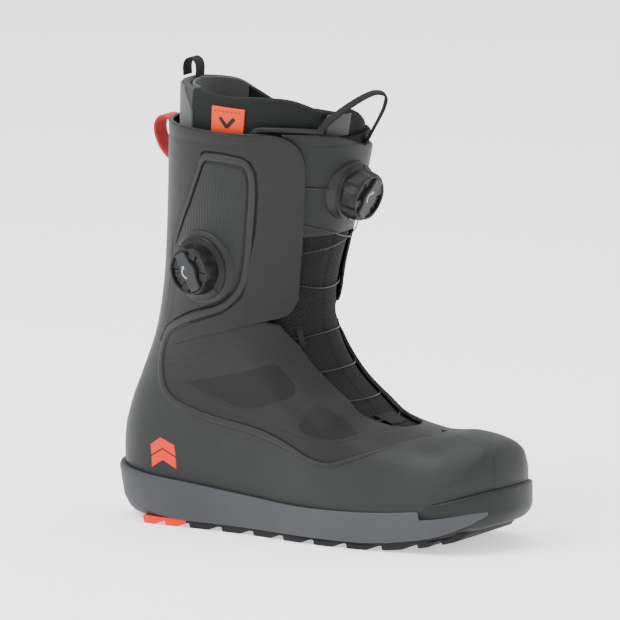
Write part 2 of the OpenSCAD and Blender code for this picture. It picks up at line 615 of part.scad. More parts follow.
// ---- Dials -----------------------------------------------------------------------------
// Places of the dials on the skin: centre, heading of the axis and its tilt below level
SIDE_DIAL = [[-66, -49.2, 182.5], -98.5, 4.5];
FRONT_DIAL = [[25.8, -6.9, 236.5], -6.5, 13.5];
module at_dial(d) translate(d[0]) rotate([0, 90 + d[2], d[1]]) rotate([0, 0, 90]) children();

// Heights inside a dial, from the skin outwards
COLLAR_TOP = 1.8;
FLANGE_TOP = COLLAR_TOP + 2;
WALL_TOP = FLANGE_TOP + 5;
SPOOL_TOP = FLANGE_TOP + 3.4;
RATCHET_TOP = SPOOL_TOP + 2;
KNOB_FLOOR = RATCHET_TOP + 1.2;
KNOB_TOP = COLLAR_TOP + dial_h - 1.5;
WELL_R = 14;

// A moulded saddle: flat on top, and cut underneath to the shaft's curve
module dial_collar(d, r, shaft_r) {
  color("#474949")
  at_dial(d)
  difference() {
    translate([0, 0, -6.5]) cylinder(h = 6.5 + COLLAR_TOP, r = r);
    translate([0, 60, 1.1 - shaft_r]) rotate([90, 0, 0]) cylinder(h = 120, r = shaft_r, $fn = 256);
    translate([0, 0, -8]) cylinder(h = 12, r = 12);
  }
}

module dial_housing(d, r) {
  color("#333435")
  at_dial(d)
  difference() {
    union() {
      translate([0, 0, COLLAR_TOP + 0.02]) cylinder(h = FLANGE_TOP - COLLAR_TOP, r = r);
      translate([0, 0, FLANGE_TOP - 0.5]) cylinder(h = WALL_TOP - FLANGE_TOP + 0.5, r = WELL_R + 1.6);
    }
    translate([0, 0, FLANGE_TOP]) cylinder(h = 12, r = WELL_R);
    translate([0, 0, 0]) cylinder(h = 12, r = pin_r);
    for (a = [0, 180]) rotate([0, 0, a]) translate([WELL_R - 3, 0, FLANGE_TOP + 1.5])
      rotate([0, 90, 0]) cylinder(h = 8, r = 0.8);
  }
}

// The pin that the spool turns on, with a broad head under the knob
module dial_screw(d) {
  color("#9a9b9d")
  at_dial(d) {
    translate([0, 0, COLLAR_TOP]) cylinder(h = RATCHET_TOP - COLLAR_TOP + 0.1, r = pin_r - 0.02);
    translate([0, 0, RATCHET_TOP + 0.1]) cylinder(h = 0.8, r = pin_r + 1.5);
  }
}

module dial_spool(d) {
  color("#56585a")
  at_dial(d)
  difference() {
    union() {
      translate([0, 0, FLANGE_TOP + 0.1]) cylinder(h = 0.8, r = 11);
      translate([0, 0, FLANGE_TOP + 0.1]) cylinder(h = SPOOL_TOP - FLANGE_TOP - 0.1, r = 7);
      translate([0, 0, SPOOL_TOP - 0.8]) cylinder(h = 0.8, r = 11);
    }
    cylinder(h = 20, r = pin_r - 0.02 + running);
  }
}

TEETH = 24;
module dial_ratchet(d) {
  color("#717376")
  at_dial(d)
  translate([0, 0, SPOOL_TOP + 0.02])
  linear_extrude(RATCHET_TOP - SPOOL_TOP - 0.1)
  difference() {
    polygon([for (i = [0:TEETH - 1]) let (a = i * 360 / TEETH, b = (i + 0.9) * 360 / TEETH)
               each [12 * [cos(a), sin(a)], 13.5 * [cos(b), sin(b)]]]);
    circle(r = pin_r - 0.02 + running);
  }
}

GRIPS = 6;
module dial_knob(d) {
  color("#3a3b3c")
  at_dial(d)
  difference() {
    translate([0, 0, FLANGE_TOP + 0.4]) cylinder(h = KNOB_TOP - FLANGE_TOP - 0.4, r = knob_r);
    translate([0, 0, 0]) cylinder(h = KNOB_FLOOR, r = WELL_R + 2);
    cylinder(h = 30, r = 5);
    for (i = [0:GRIPS - 1]) rotate([0, 0, i * 360 / GRIPS])
      translate([knob_r + 5, 0, FLANGE_TOP]) cylinder(h = 20, r = 6.2);
  }
}

module dial_cap(d) {
  color("#515355")
  at_dial(d)
  translate([0, 0, KNOB_TOP + 0.02]) {
    cylinder(h = 1, r = 13);
    translate([0, 0, 1]) cylinder(h = 0.5, r = 11);
  }
}

module side_dial_collar() dial_collar(SIDE_DIAL, 25.5, 84);
module side_dial_housing() dial_housing(SIDE_DIAL, 22);
module side_dial_spool() dial_spool(SIDE_DIAL);
module side_dial_ratchet() dial_ratchet(SIDE_DIAL);
module side_dial_screw() dial_screw(SIDE_DIAL);
module side_dial_knob() dial_knob(SIDE_DIAL);
module side_dial_cap() dial_cap(SIDE_DIAL);
module front_dial_collar() dial_collar(FRONT_DIAL, 21, 54);
module front_dial_housing() dial_housing(FRONT_DIAL, 20);
module front_dial_spool() dial_spool(FRONT_DIAL);
module front_dial_ratchet() dial_ratchet(FRONT_DIAL);
module front_dial_screw() dial_screw(FRONT_DIAL);
module front_dial_knob() dial_knob(FRONT_DIAL);
module front_dial_cap() dial_cap(FRONT_DIAL);

outsole();
heel_tread();
midsole();
heel_cushion();
lasting_board();
toe_bumper();
rear_shell();
lateral_foxing();
medial_foxing();
toe_box();
lateral_quarter();
medial_quarter();
lateral_cuff();
medial_cuff();
outer_tongue();
front_shield();
heel_counter();
toe_puff();
lateral_flap();
medial_flap();
dial_panel();
medial_panel();
lateral_piping();
medial_piping();
quarter_windows();
heel_mark();
lateral_guides();
medial_guides();
toe_lace_loop();
upper_lace();
lower_lace();
ankle_harness();
liner_foot();
liner_cuff();
liner_heel_collar();
liner_tongue();
liner_lining();
footbed();
liner_tag();
heel_loop();
liner_loop();
tongue_strap();
side_dial_collar();
side_dial_housing();
side_dial_spool();
side_dial_ratchet();
side_dial_screw();
side_dial_knob();
side_dial_cap();
front_dial_collar();
front_dial_housing();
front_dial_spool();
front_dial_ratchet();
front_dial_screw();
front_dial_knob();
front_dial_cap();
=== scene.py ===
import math

import bpy
import numpy as np
from mathutils import Matrix, Vector


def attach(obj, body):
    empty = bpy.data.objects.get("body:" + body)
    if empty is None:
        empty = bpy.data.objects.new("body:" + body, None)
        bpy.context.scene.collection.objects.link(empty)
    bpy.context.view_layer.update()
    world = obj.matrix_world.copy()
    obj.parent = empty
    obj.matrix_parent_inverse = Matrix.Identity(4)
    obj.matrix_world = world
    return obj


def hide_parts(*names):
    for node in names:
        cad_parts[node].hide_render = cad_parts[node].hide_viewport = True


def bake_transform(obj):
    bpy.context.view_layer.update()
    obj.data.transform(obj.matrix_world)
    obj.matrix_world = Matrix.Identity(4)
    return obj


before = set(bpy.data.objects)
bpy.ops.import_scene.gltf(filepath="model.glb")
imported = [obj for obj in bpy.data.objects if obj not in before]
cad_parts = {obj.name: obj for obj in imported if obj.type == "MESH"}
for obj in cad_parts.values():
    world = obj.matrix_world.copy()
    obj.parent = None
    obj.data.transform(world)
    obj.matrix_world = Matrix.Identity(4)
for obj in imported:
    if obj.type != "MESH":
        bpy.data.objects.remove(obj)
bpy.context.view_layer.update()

# Lengths are millimetres until a mesh is made.
MM = 0.001

# ---- The boot's skin, the same surface as the part's -------------------------------------
BACK = [(0, -146), (30, -149), (60, -149), (80, -144), (100, -136), (130, -124.5),
        (165, -118), (200, -115), (245, -113), (330, -111)]
FRONT = np.array([(147, 22), (148, 40), (146, 56), (137, 69), (115, 76), (88, 77), (56, 85),
                  (40, 97.5), (24, 113), (13, 131), (8, 150), (10, 175), (18, 205), (27, 240),
                  (34, 275), (38, 300), (41, 325)], float)
BACK_Z = list(enumerate([23, 36, 46, 56, 66, 76, 88, 98, 109, 123, 140, 165, 200, 240, 278,
                         302, 328]))
FOOT_OUT = [(-150, 38), (-110, 40), (-70, 40), (-30, 43), (15, 51), (50, 54), (85, 53), (150, 50)]
FOOT_IN = [(-150, 38), (-110, 39), (-70, 38), (-30, 39), (15, 46), (50, 52), (85, 54), (150, 50)]
SHAFT = [(100, 44), (150, 47), (190, 51), (240, 55), (300, 58)]
ROUND_BACK = [(0, 44), (60, 46), (120, 56), (170, 66), (300, 72)]
ROUND_FRONT = [(0, 62), (45, 60), (75, 38), (110, 46), (150, 62), (300, 72)]
ROUNDNESS = 2.2


def hermite(f, a, slope_a, b, slope_b):
    """The cubic from a to b, f going from 0 to 1, with these slopes at its ends."""
    return ((2 * f**3 - 3 * f**2 + 1) * a + (f**3 - 2 * f**2 + f) * slope_a
            + (3 * f**2 - 2 * f**3) * b + (f**3 - f**2) * slope_b)


def curve(points, x):
    """A smooth curve through the points (x, y)."""
    p = np.array(points, float)
    xs, ys = p[:, 0], p[:, 1]
    x = np.clip(np.asarray(x, float), xs[0], xs[-1])
    slope = np.empty(len(xs))
    slope[1:-1] = (ys[2:] - ys[:-2]) / (xs[2:] - xs[:-2])
    slope[0] = (ys[1] - ys[0]) / (xs[1] - xs[0])
    slope[-1] = (ys[-1] - ys[-2]) / (xs[-1] - xs[-2])
    i = np.clip(np.searchsorted(xs, x, side="right") - 1, 0, len(xs) - 2)
    h = xs[i + 1] - xs[i]
    t = (x - xs[i]) / h
    return hermite(t, ys[i], h * slope[i], ys[i + 1], h * slope[i + 1])


def path(points, t):
    """A smooth path through the points, t counted in points."""
    p = np.asarray(points, float)
    m = np.zeros_like(p)
    m[1:-1] = (p[2:] - p[:-2]) / 2
    m[0], m[-1] = p[1] - p[0], p[-1] - p[-2]
    t = np.clip(np.asarray(t, float), 0, len(p) - 1)
    i = np.minimum(t.astype(int), len(p) - 2)
    return hermite((t - i)[..., None], p[i], m[i], p[i + 1], m[i + 1])


def run_length(points):
    """How far along the polyline each of its points is."""
    return np.concatenate([[0], np.cumsum(np.linalg.norm(np.diff(points, axis=0), axis=1))])


def even_path(points, step):
    """Points along the path through points, about step apart."""
    fine = path(points, np.linspace(0, len(points) - 1, 40 * len(points)))
    s = run_length(fine)
    at = np.linspace(0, s[-1], max(int(round(s[-1] / step)), 2) + 1)
    return np.stack([np.interp(at, s, fine[:, k]) for k in range(fine.shape[1])], -1)


def table(points, x):
    """Straight lines through the points (x, y)."""
    p = np.array(points, float)
    return np.interp(x, p[:, 0], p[:, 1])


def near(points, line):
    """Distance of each point from the polyline, worked out in chunks to spare memory."""
    chunk = 20000
    a, b = line[:-1], line[1:]
    ab = b - a
    length = np.maximum((ab**2).sum(1), 1e-12)
    flat = points.reshape(-1, points.shape[-1])
    best = np.empty(len(flat))
    for s in range(0, len(flat), chunk):
        d = flat[s:s + chunk, None, :] - a[None]
        t = np.clip((d * ab).sum(2) / length, 0, 1)
        best[s:s + chunk] = np.sqrt((((d - t[..., None] * ab)**2).sum(2)).min(1))
    return best.reshape(points.shape[:-1])


def smooth(a, b, x):
    """0 before a and 1 after b, with a soft step between."""
    t = np.clip((x - a) / (b - a), 0, 1)
    return t * t * (3 - 2 * t)


FRONT_LINE = path(FRONT, np.linspace(0, len(FRONT) - 1, 8 * (len(FRONT) - 1) + 1))


# How far the smooth front stands off its own polyline, by level
FRONT_STEPS = np.linspace(0, len(FRONT) - 1, 1601)
FRONT_GAP = near(path(FRONT, FRONT_STEPS), FRONT_LINE)


def shoulder(d, r):
    """The share of its full width that a section has, d in from its end, rounded over r."""
    u = 1 - np.clip(d / r, 0, 1)
    return np.maximum(1 - u**ROUNDNESS, 0)**(1 / ROUNDNESS)


def skin(phi, level, out=0.0):
    """Points on the boot: phi runs from the heel (0) over the outer side (90) to the front (180)."""
    phi, level, out = np.broadcast_arrays(*(np.asarray(v, float) for v in (phi, level, out)))
    z = curve(BACK_Z, level)
    heel = np.stack([curve(BACK, z), z], -1)
    front = path(FRONT, level)
    run = path(FRONT, level + 0.05) - path(FRONT, level - 0.05)
    ahead = np.stack([run[..., 1], -run[..., 0]], -1)
    ahead /= np.maximum(np.linalg.norm(ahead, axis=-1, keepdims=True), 1e-9)
    a = ((1 - np.cos(np.radians(phi))) / 2)[..., None]
    q = heel + (front - heel) * a
    outer = np.sin(np.radians(phi)) > 0
    foot = np.where(outer, curve(FOOT_OUT, q[..., 0]), curve(FOOT_IN, q[..., 0]))
    lam = smooth(45, 150, q[..., 1])
    w = foot * (1 - lam) + curve(SHAFT, q[..., 1]) * lam
    y = w * shoulder(q[..., 0] - curve(BACK, q[..., 1]), curve(ROUND_BACK, q[..., 1]))
    ahead_by = near(q, FRONT_LINE) - np.interp(level, FRONT_STEPS, FRONT_GAP) * a[..., 0]
    rest = 1 - a[..., 0]
    straight = rest * ((front - heel) * ahead).sum(-1)
    ahead_by += (straight - ahead_by) * smooth(0.03, 0.012, rest)
    y = y * shoulder(np.maximum(ahead_by, 0), curve(ROUND_FRONT, q[..., 1])) * (1 + out / w)
    tail = heel - np.stack([out, 0 * out], -1)
    p = tail + (front + ahead * out[..., None] - tail) * a
    centre = 7 * np.clip((p[..., 0] + 10) / 160, 0, 1.2)**2
    return np.stack([p[..., 0], np.where(outer, -y, y) + centre, p[..., 1]], -1)


def unit(v):
    """The vectors v, made one long."""
    return v / np.maximum(np.linalg.norm(v, axis=-1, keepdims=True), 1e-12)


def skin_normal(phi, level):
    """The direction square to the skin."""
    return unit(np.cross(skin(phi + 0.5, level) - skin(phi - 0.5, level),
                         skin(phi, level + 0.05) - skin(phi, level - 0.05)))


def on_skin(line, out=0.0):
    """A dense polyline on the skin through the (phi, level) corners."""
    p = np.array([q[:2] for q in line], float)
    t = np.linspace(0, len(p) - 1, 8 * (len(p) - 1) + 1)
    at = np.stack([np.interp(t, np.arange(len(p)), p[:, k]) for k in (0, 1)], -1)
    return skin(at[:, 0], at[:, 1], out)


def folded(phi):
    """The same place on the outer side, 0 to 180."""
    phi = np.mod(phi, 360)
    return np.where(phi > 180, 360 - phi, phi)


# ---- Making pieces ---------------------------------------------------------------------
def piece(name, points, faces, material, body="root", walls=(), uv=None, crease=None):
    """A mesh object from points in millimetres. walls are the faces that stay flat-shaded."""
    mesh = bpy.data.meshes.new(name)
    mesh.from_pydata((np.asarray(points, float) * MM).tolist(), [], [list(map(int, f)) for f in faces])
    mesh.materials.append(material)
    flags = np.ones(len(mesh.polygons), bool)
    flags[list(walls)] = False
    mesh.polygons.foreach_set("use_smooth", flags)
    if uv is not None:
        index = np.empty(len(mesh.loops), np.int32)
        mesh.loops.foreach_get("vertex_index", index)
        layer = mesh.uv_layers.new(name="mm")
        layer.data.foreach_set("uv", (np.asarray(uv, np.float32)[index]).ravel())
    mesh.update()
    if crease:
        mesh.set_sharp_from_angle(angle=math.radians(crease))
    obj = bpy.data.objects.new(name, mesh)
    bpy.context.scene.collection.objects.link(obj)
    if body:
        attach(obj, body)
    return obj


def ring_faces(rows, count):
    """The faces of a solid made of rows, each a ring of count points, closed at both ends."""
    faces = []
    for j in range(rows - 1):
        a, b = j * count, (j + 1) * count
        for k in range(count):
            q = (k + 1) % count
            faces.append([a + k, a + q, b + q, b + k])
    return faces + [list(range(count))[::-1], [(rows - 1) * count + k for k in range(count)]]


def facing(points, faces, outward):
    """The faces, turned so that the first one's normal goes along outward."""
    a, b, c = (np.asarray(points[v], float) for v in faces[0][:3])
    return faces if np.dot(np.cross(b - a, c - a), outward) > 0 else [f[::-1] for f in faces]


def ticks(length, step, edge=0.0):
    """Positions from 0 to 1, about step apart, closer over the rounded edges."""
    n = max(int(round(length / step)), 2)
    t = np.linspace(0, 1, n + 1)
    if edge <= 0:
        return t
    close = edge / length * np.array([0, 0.08, 0.3, 0.62, 1.0])
    inside = t[(t > close[-1] * 1.2) & (t < 1 - close[-1] * 1.2)]
    return np.concatenate([close, inside, 1 - close[::-1]])


def panel(name, phi, level, lo, hi, material, slot, edge=1.0, body="root", closed=False,
          both=False, sides="wens", keep=4, rim=None, masks=None):
    """A solid that follows the skin over the grid phi, level, from lo to hi outside it. Its outer
    edges are rounded by edge on the named sides: w and e are the first and last column, n and s
    the last and first row. rim gives the rounded edges as lines of (phi, level) instead."""
    nv, nu = phi.shape
    hi = np.broadcast_to(np.asarray(hi, float), phi.shape)
    lo = np.broadcast_to(np.asarray(lo, float), phi.shape)
    top = skin(phi, level, hi)
    along = np.zeros(phi.shape)
    up = np.zeros(phi.shape)
    along[:, 1:] = np.cumsum(np.linalg.norm(np.diff(top, axis=1), axis=2), axis=1)
    up[1:] = np.cumsum(np.linalg.norm(np.diff(top, axis=0), axis=2), axis=0)
    if rim is not None:
        d = np.full(phi.shape, 1e9)
        for line in rim:
            d = np.minimum(d, near(top, on_skin(line, float(hi.mean()))))
    else:
        d = np.full(phi.shape, 1e9)
        if "w" in sides and not closed:
            d = np.minimum(d, along)
        if "e" in sides and not closed:
            d = np.minimum(d, along[:, -1:] - along)
        if "s" in sides:
            d = np.minimum(d, up)
        if "n" in sides:
            d = np.minimum(d, up[-1:] - up)
    if edge > 0:
        drop = edge * (1 - np.sqrt(1 - (1 - np.minimum(d / edge, 1))**2))
        hi = hi - drop
        if both:
            lo = lo + drop
        top = skin(phi, level, hi)
    iu = sorted({*range(0, nu, keep), nu - 1}) if not closed else list(range(0, nu, keep))
    iv = sorted({*range(0, nv, keep), nv - 1})
    if both:
        iu, iv = list(range(nu)), list(range(nv))
    under = skin(phi[np.ix_(iv, iu)], level[np.ix_(iv, iu)], lo[np.ix_(iv, iu)])
    points = np.concatenate([top.reshape(-1, 3), under.reshape(-1, 3)])
    base = nu * nv
    mu, mv = len(iu), len(iv)
    faces = []
    turns = nu if closed else nu - 1
    j, i = np.meshgrid(np.arange(nv - 1), np.arange(turns), indexing="ij")
    k = (i + 1) % nu
    flip = np.dot(np.cross(top[0, 1] - top[0, 0], top[1, 0] - top[0, 0]),
                  skin(phi[0, 0], level[0, 0], 5.0) - skin(phi[0, 0], level[0, 0], 0.0)) < 0
    quads = np.stack([j * nu + i, j * nu + k, (j + 1) * nu + k, (j + 1) * nu + i], -1).reshape(-1, 4)
    faces += quads.tolist()
    uturns = mu if closed else mu - 1
    j, i = np.meshgrid(np.arange(mv - 1), np.arange(uturns), indexing="ij")
    k = (i + 1) % mu
    quads = base + np.stack([j * mu + i, (j + 1) * mu + i, (j + 1) * mu + k, j * mu + k], -1).reshape(-1, 4)
    faces += quads.tolist()
    first_wall = len(faces)

    def run(a, b, count):
        return list(range(a, b + 1)) if b > a else list(range(a, count)) + [0]

    for row, urow in ((0, 0), (nv - 1, mv - 1)):
        for m in range(uturns):
            a, b = iu[m], iu[(m + 1) % mu]
            ring = [row * nu + c for c in run(a, b, nu)]
            face = ring[::-1] + [base + urow * mu + m, base + urow * mu + (m + 1) % mu]
            faces.append(face if row == 0 else face[::-1])
    if not closed:
        for col, ucol in ((0, 0), (nu - 1, mu - 1)):
            for m in range(mv - 1):
                ring = [c * nu + col for c in range(iv[m], iv[m + 1] + 1)]
                face = ring + [base + (m + 1) * mu + ucol, base + m * mu + ucol]
                faces.append(face if col == 0 else face[::-1])
    if flip:
        faces = [f[::-1] for f in faces]
    uv = np.concatenate([np.stack([along, up], -1).reshape(-1, 2),
                         np.stack([along, up], -1)[np.ix_(iv, iu)].reshape(-1, 2)])
    walls = () if both else range(first_wall, len(faces))
    obj = piece(name, points, faces, material, body, walls, uv)
    for key, value in (masks or {}).items():
        full = np.concatenate([value.ravel(), value[np.ix_(iv, iu)].ravel()])
        layer = obj.data.attributes.new(key, "FLOAT", "POINT")
        layer.data.foreach_set("value", full.astype(np.float32))
    return obj


def grid(phis, low, high, rows):
    """phi and level arrays with the columns at phis and the rows spread from low to high."""
    phi = np.broadcast_to(phis[None], (len(rows), len(phis)))
    return phi.copy(), low[None] + (high - low)[None] * rows[:, None]


def rows_grid(levels, rear, front, cols):
    """A grid with a row for each level, running from rear to front."""
    level = np.broadcast_to(levels[:, None], (len(levels), len(cols)))
    return rear[:, None] + (front - rear)[:, None] * cols[None], level.copy()


def frames(points):
    """Unit directions along a polyline."""
    t = np.empty_like(points)
    t[1:-1] = points[2:] - points[:-2]
    t[0], t[-1] = points[1] - points[0], points[-1] - points[-2]
    return unit(t)


def sweep(name, points, side, normal, profile, material, slot, body="root", crease=40, scale=None):
    """A solid swept along points, its profile given as (side, normal) pairs going round."""
    profile = np.asarray(profile, float)
    n, m = len(points), len(profile)
    s = np.ones(n) if scale is None else np.asarray(scale, float)
    rings = (points[:, None] + side[:, None] * (profile[None, :, :1] * s[:, None, None])
             + normal[:, None] * (profile[None, :, 1:] * s[:, None, None]))
    length = run_length(points)
    around = run_length(profile)
    uv = np.stack(np.broadcast_arrays(length[:, None], around[None]), -1).reshape(-1, 2)
    pts = rings.reshape(-1, 3)
    faces = facing(pts, ring_faces(n, m), rings[0, 0] + rings[0, 1] - 2 * rings[0].mean(0))
    return piece(name, pts, faces, material, body, (), uv, crease)


def skin_sweep(name, route, profile, material, slot, step=1.2, out=0.0, taper=None, **more):
    """A sweep that lies on the skin along the route of (phi, level) points. taper gives the
    profile's scale at distances along it, as (distance, scale) points."""
    at = even_path([(p[0], 8 * p[1], (p[2] if len(p) > 2 else 0)) for p in route], step)
    phi, level, lift = at[:, 0], at[:, 1] / 8, at[:, 2]
    points = skin(phi, level, out + lift)
    # even the points along the real curve
    s = run_length(points)
    want = np.linspace(0, s[-1], max(int(s[-1] / step), 2) + 1)
    phi, level, lift = (np.interp(want, s, v) for v in (phi, level, lift))
    points = skin(phi, level, out + lift)
    normal = skin_normal(phi, level)
    centre = skin(phi, level, 5.0) - skin(phi, level, 0.0)
    normal = normal * np.sign((normal * centre).sum(1, keepdims=True))
    along = frames(points)
    side = unit(np.cross(along, normal))
    if taper is not None:
        more["scale"] = table(taper, want)
    return sweep(name, points, side, unit(np.cross(side, along)), profile, material, slot, **more)


def crown(width, height, base, n=7, power=2.0):
    """A band's profile: flat below, crowned above."""
    x = np.linspace(-1, 1, n)
    top = [(width / 2 * v, height * (1 - abs(v)**power)) for v in x]
    return [(-width / 2, base), *top, (width / 2, base)]


def circle(r, n=10):
    """A round profile."""
    return [(r * math.cos(2 * math.pi * k / n), r * math.sin(2 * math.pi * k / n)) for k in range(n)]


def flat_band(width, thick):
    """A thin band's rounded profile."""
    w, t = width / 2, thick / 2
    c = min(t * 0.8, 0.5)
    return [(-w, -t + c), (-w + c, -t), (w - c, -t), (w, -t + c), (w, t - c), (w - c, t),
            (-w + c, t), (-w, t - c)]


# ---- Materials -------------------------------------------------------------------------
def srgb(r, g, b):
    """A colour given from 0 to 255 a channel, as Blender wants it."""
    return tuple(((v / 255 + 0.055) / 1.055)**2.4 if v / 255 > 0.04045 else v / 255 / 12.92
                 for v in (r, g, b)) + (1.0,)


class Finish:
    """A node material built step by step."""

    def __init__(self, name, color, rough=0.6, spec=0.4, metal=0.0, sheen=0.0):
        self.mat = bpy.data.materials.new(name)
        self.mat.use_nodes = True
        self.tree = self.mat.node_tree
        self.shader = self.tree.nodes["Principled BSDF"]
        self.set(self.shader, "Base Color", color)
        self.set(self.shader, "Roughness", rough)
        self.set(self.shader, "Specular IOR Level", spec)
        self.set(self.shader, "Metallic", metal)
        self.set(self.shader, "Sheen Weight", sheen)
        self.normal = None

    def set(self, node, socket, value):
        node.inputs[socket].default_value = value

    def node(self, kind, **values):
        n = self.tree.nodes.new(kind)
        for key, value in values.items():
            if key in n.inputs:
                n.inputs[key].default_value = value
            else:
                setattr(n, key, value)
        return n

    def link(self, a, b):
        self.tree.links.new(a, b)

    def place(self):
        """Where on the object a point lies, in metres."""
        return self.node("ShaderNodeTexCoord").outputs["Object"]

    def noise(self, scale, detail):
        """Soft noise, scale patches to the metre."""
        n = self.node("ShaderNodeTexNoise")
        self.set(n, "Scale", scale)
        self.set(n, "Detail", detail)
        self.link(self.place(), n.inputs["Vector"])
        return n.outputs["Fac"]

    def cells(self, scale):
        """Distance from the nearest of many scattered points."""
        n = self.node("ShaderNodeTexVoronoi")
        self.set(n, "Scale", scale)
        self.link(self.place(), n.inputs["Vector"])
        return n.outputs["Distance"]

    def math(self, op, a, b=None):
        """One arithmetic step on sockets or numbers."""
        n = self.node("ShaderNodeMath", operation=op)
        for k, v in enumerate((a, b)):
            if v is None:
                continue
            if isinstance(v, (int, float)):
                n.inputs[k].default_value = v
            else:
                self.link(v, n.inputs[k])
        return n.outputs[0]

    def bump(self, height, depth):
        """depth is the height's real size in metres."""
        b = self.node("ShaderNodeBump")
        self.set(b, "Strength", 1.0)
        self.set(b, "Distance", depth)
        self.link(height, b.inputs["Height"])
        if self.normal is not None:
            self.link(self.normal, b.inputs["Normal"])
        self.normal = b.outputs["Normal"]
        self.link(self.normal, self.shader.inputs["Normal"])
        return self

    def tint(self, fac, other, low=0.35, high=0.65):
        """Mixes another colour in where fac is high."""
        ramp = self.node("ShaderNodeMapRange")
        self.set(ramp, "From Min", low)
        self.set(ramp, "From Max", high)
        self.link(fac, ramp.inputs["Value"])
        m = self.node("ShaderNodeMix", data_type="RGBA")
        self.link(ramp.outputs["Result"], m.inputs["Factor"])
        base = self.shader.inputs["Base Color"]
        if base.is_linked:
            self.link(base.links[0].from_socket, m.inputs["A"])
        else:
            self.set(m, "A", base.default_value)
        self.set(m, "B", other)
        self.link(m.outputs["Result"], base)
        return self

    def vary_rough(self, fac, low, high):
        """Lets the roughness run from low to high with fac."""
        r = self.node("ShaderNodeMapRange")
        self.set(r, "To Min", low)
        self.set(r, "To Max", high)
        self.link(fac, r.inputs["Value"])
        self.link(r.outputs["Result"], self.shader.inputs["Roughness"])
        return self

    def mask(self, name):
        """A value painted on the mesh's points."""
        n = self.node("ShaderNodeAttribute", attribute_name=name)
        return n.outputs["Fac"]

    def ripple(self, pitch, name="ripple", tilt=0.0):
        """Fine wavy lines, pitch millimetres apart, where the mesh's mask is on."""
        n = self.node("ShaderNodeTexWave")
        self.set(n, "Scale", 314.0 / pitch)
        self.set(n, "Distortion", 5.0)
        self.set(n, "Detail", 1.0)
        self.set(n, "Detail Scale", 0.25)
        place = self.node("ShaderNodeMapping")
        self.set(place, "Rotation", (0.0, math.radians(tilt), 0.0))
        self.link(self.place(), place.inputs["Vector"])
        self.link(place.outputs["Vector"], n.inputs["Vector"])
        return self.math("MULTIPLY", n.outputs["Fac"], self.mask(name))

    def weave(self, pitch):
        """The height of a plain weave, its threads pitch millimetres apart in the uv map."""
        uv = self.node("ShaderNodeTexCoord").outputs["UV"]
        split = self.node("ShaderNodeSeparateXYZ")
        self.link(uv, split.inputs["Vector"])
        x = self.math("SINE", self.math("MULTIPLY", split.outputs["X"], math.pi / pitch))
        y = self.math("SINE", self.math("MULTIPLY", split.outputs["Y"], math.pi / pitch))
        return self.math("MULTIPLY", x, y)


def shade(name, rgb, rough=0.6, grain=900, depth=0.00006, **more):
    """A moulded or coated surface: fine grain, faint patches and uneven gloss."""
    f = Finish(name, srgb(*rgb), rough, 0.2, **more)
    light = srgb(*(min(v * 1.14 + 2, 255) for v in rgb))
    f.tint(f.noise(9, 4), light, 0.35, 0.75)
    f.vary_rough(f.noise(40, 4), rough - 0.06, rough + 0.06)
    f.bump(f.noise(grain, 2), depth)
    return f


def cloth(name, rgb, pitch, rough=0.85, depth=0.00012, **more):
    """A woven surface, its threads pitch millimetres apart."""
    f = Finish(name, srgb(*rgb), rough, 0.15, **more)
    w = f.weave(pitch)
    f.tint(w, srgb(*(min(v * 1.15 + 3, 255) for v in rgb)), -0.2, 1.0)
    f.bump(w, depth)
    f.bump(f.noise(1500, 2), 0.00005)
    return f


def relief(name, rgb, rough, pitch, depth, mask="ripple", tilt=0.0):
    """A coat with fine moulded lines in the masked part."""
    f = shade(name, rgb, rough, grain=1400, depth=0.00004)
    f.bump(f.ripple(pitch, mask, tilt), depth)
    return f


def shell_coat(name, rgb):
    """The lower shell's coat: fine lines on the foxing and a dotted toe corner."""
    f = relief(name, rgb, 0.5, 2.2, 0.00016, "ripple", -20.0)
    peaks = f.math("MULTIPLY", f.math("SUBTRACT", 1.0, f.cells(620)), f.mask("dots"))
    f.bump(peaks, 0.00008)
    return f


SHELL = shell_coat("shell coat", (35, 36, 36))
RIB_COAT = shade("rib coat", (34, 34, 34), 0.45, grain=1400, depth=0.00003)
FLAP = shade("flap coat", (27, 27, 27), 0.48, grain=1400, depth=0.00004)
QUARTER = shade("quarter coat", (27, 27, 27), 0.5, grain=1400, depth=0.00004)
WINDOW = shade("window film", (17, 17, 18), 0.5, grain=2200, depth=0.00004)
PANEL = relief("dial panel coat", (28, 29, 29), 0.46, 2.6, 0.00012)
SHIELD = shade("shield coat", (26, 27, 27), 0.5, grain=1400, depth=0.00005)
BUMPER = shade("toe rubber", (28, 29, 29), 0.5, grain=1600, depth=0.00003)
TREAD = shade("tread rubber", (26, 26, 27), 0.65, grain=1200, depth=0.00006)
ACCENT = shade("orange rubber", (204, 30, 14), 0.5, grain=1600, depth=0.00003)
MARK = shade("orange film", (206, 42, 26), 0.42, grain=2500, depth=0.00002)
FOAM = shade("midsole foam", (58, 59, 62), 0.62, grain=1800, depth=0.00004)
PLASTIC = shade("dial nylon", (21, 21, 22), 0.4, grain=2500, depth=0.00002)
CAP = shade("dial cap", (38, 39, 40), 0.35, grain=3000, depth=0.00001)
PRINT = shade("dial print", (150, 152, 154), 0.5, grain=3000, depth=0.00001)
MESH = cloth("tongue mesh", (24, 24, 24), 1.5, depth=0.0003)
KNIT = cloth("liner knit", (26, 27, 27), 0.7, depth=0.0001)
KNIT.tint(KNIT.mask("felt"), srgb(62, 63, 63), 0.3, 0.7)
FELT = cloth("collar felt", (62, 63, 63), 0.7, rough=0.95, depth=0.0001, sheen=0.2)
LINING = cloth("inner lining", (22, 22, 23), 0.7, rough=0.95)
BLACK_WEB = cloth("black webbing", (28, 28, 29), 0.9, rough=0.75, depth=0.0002)
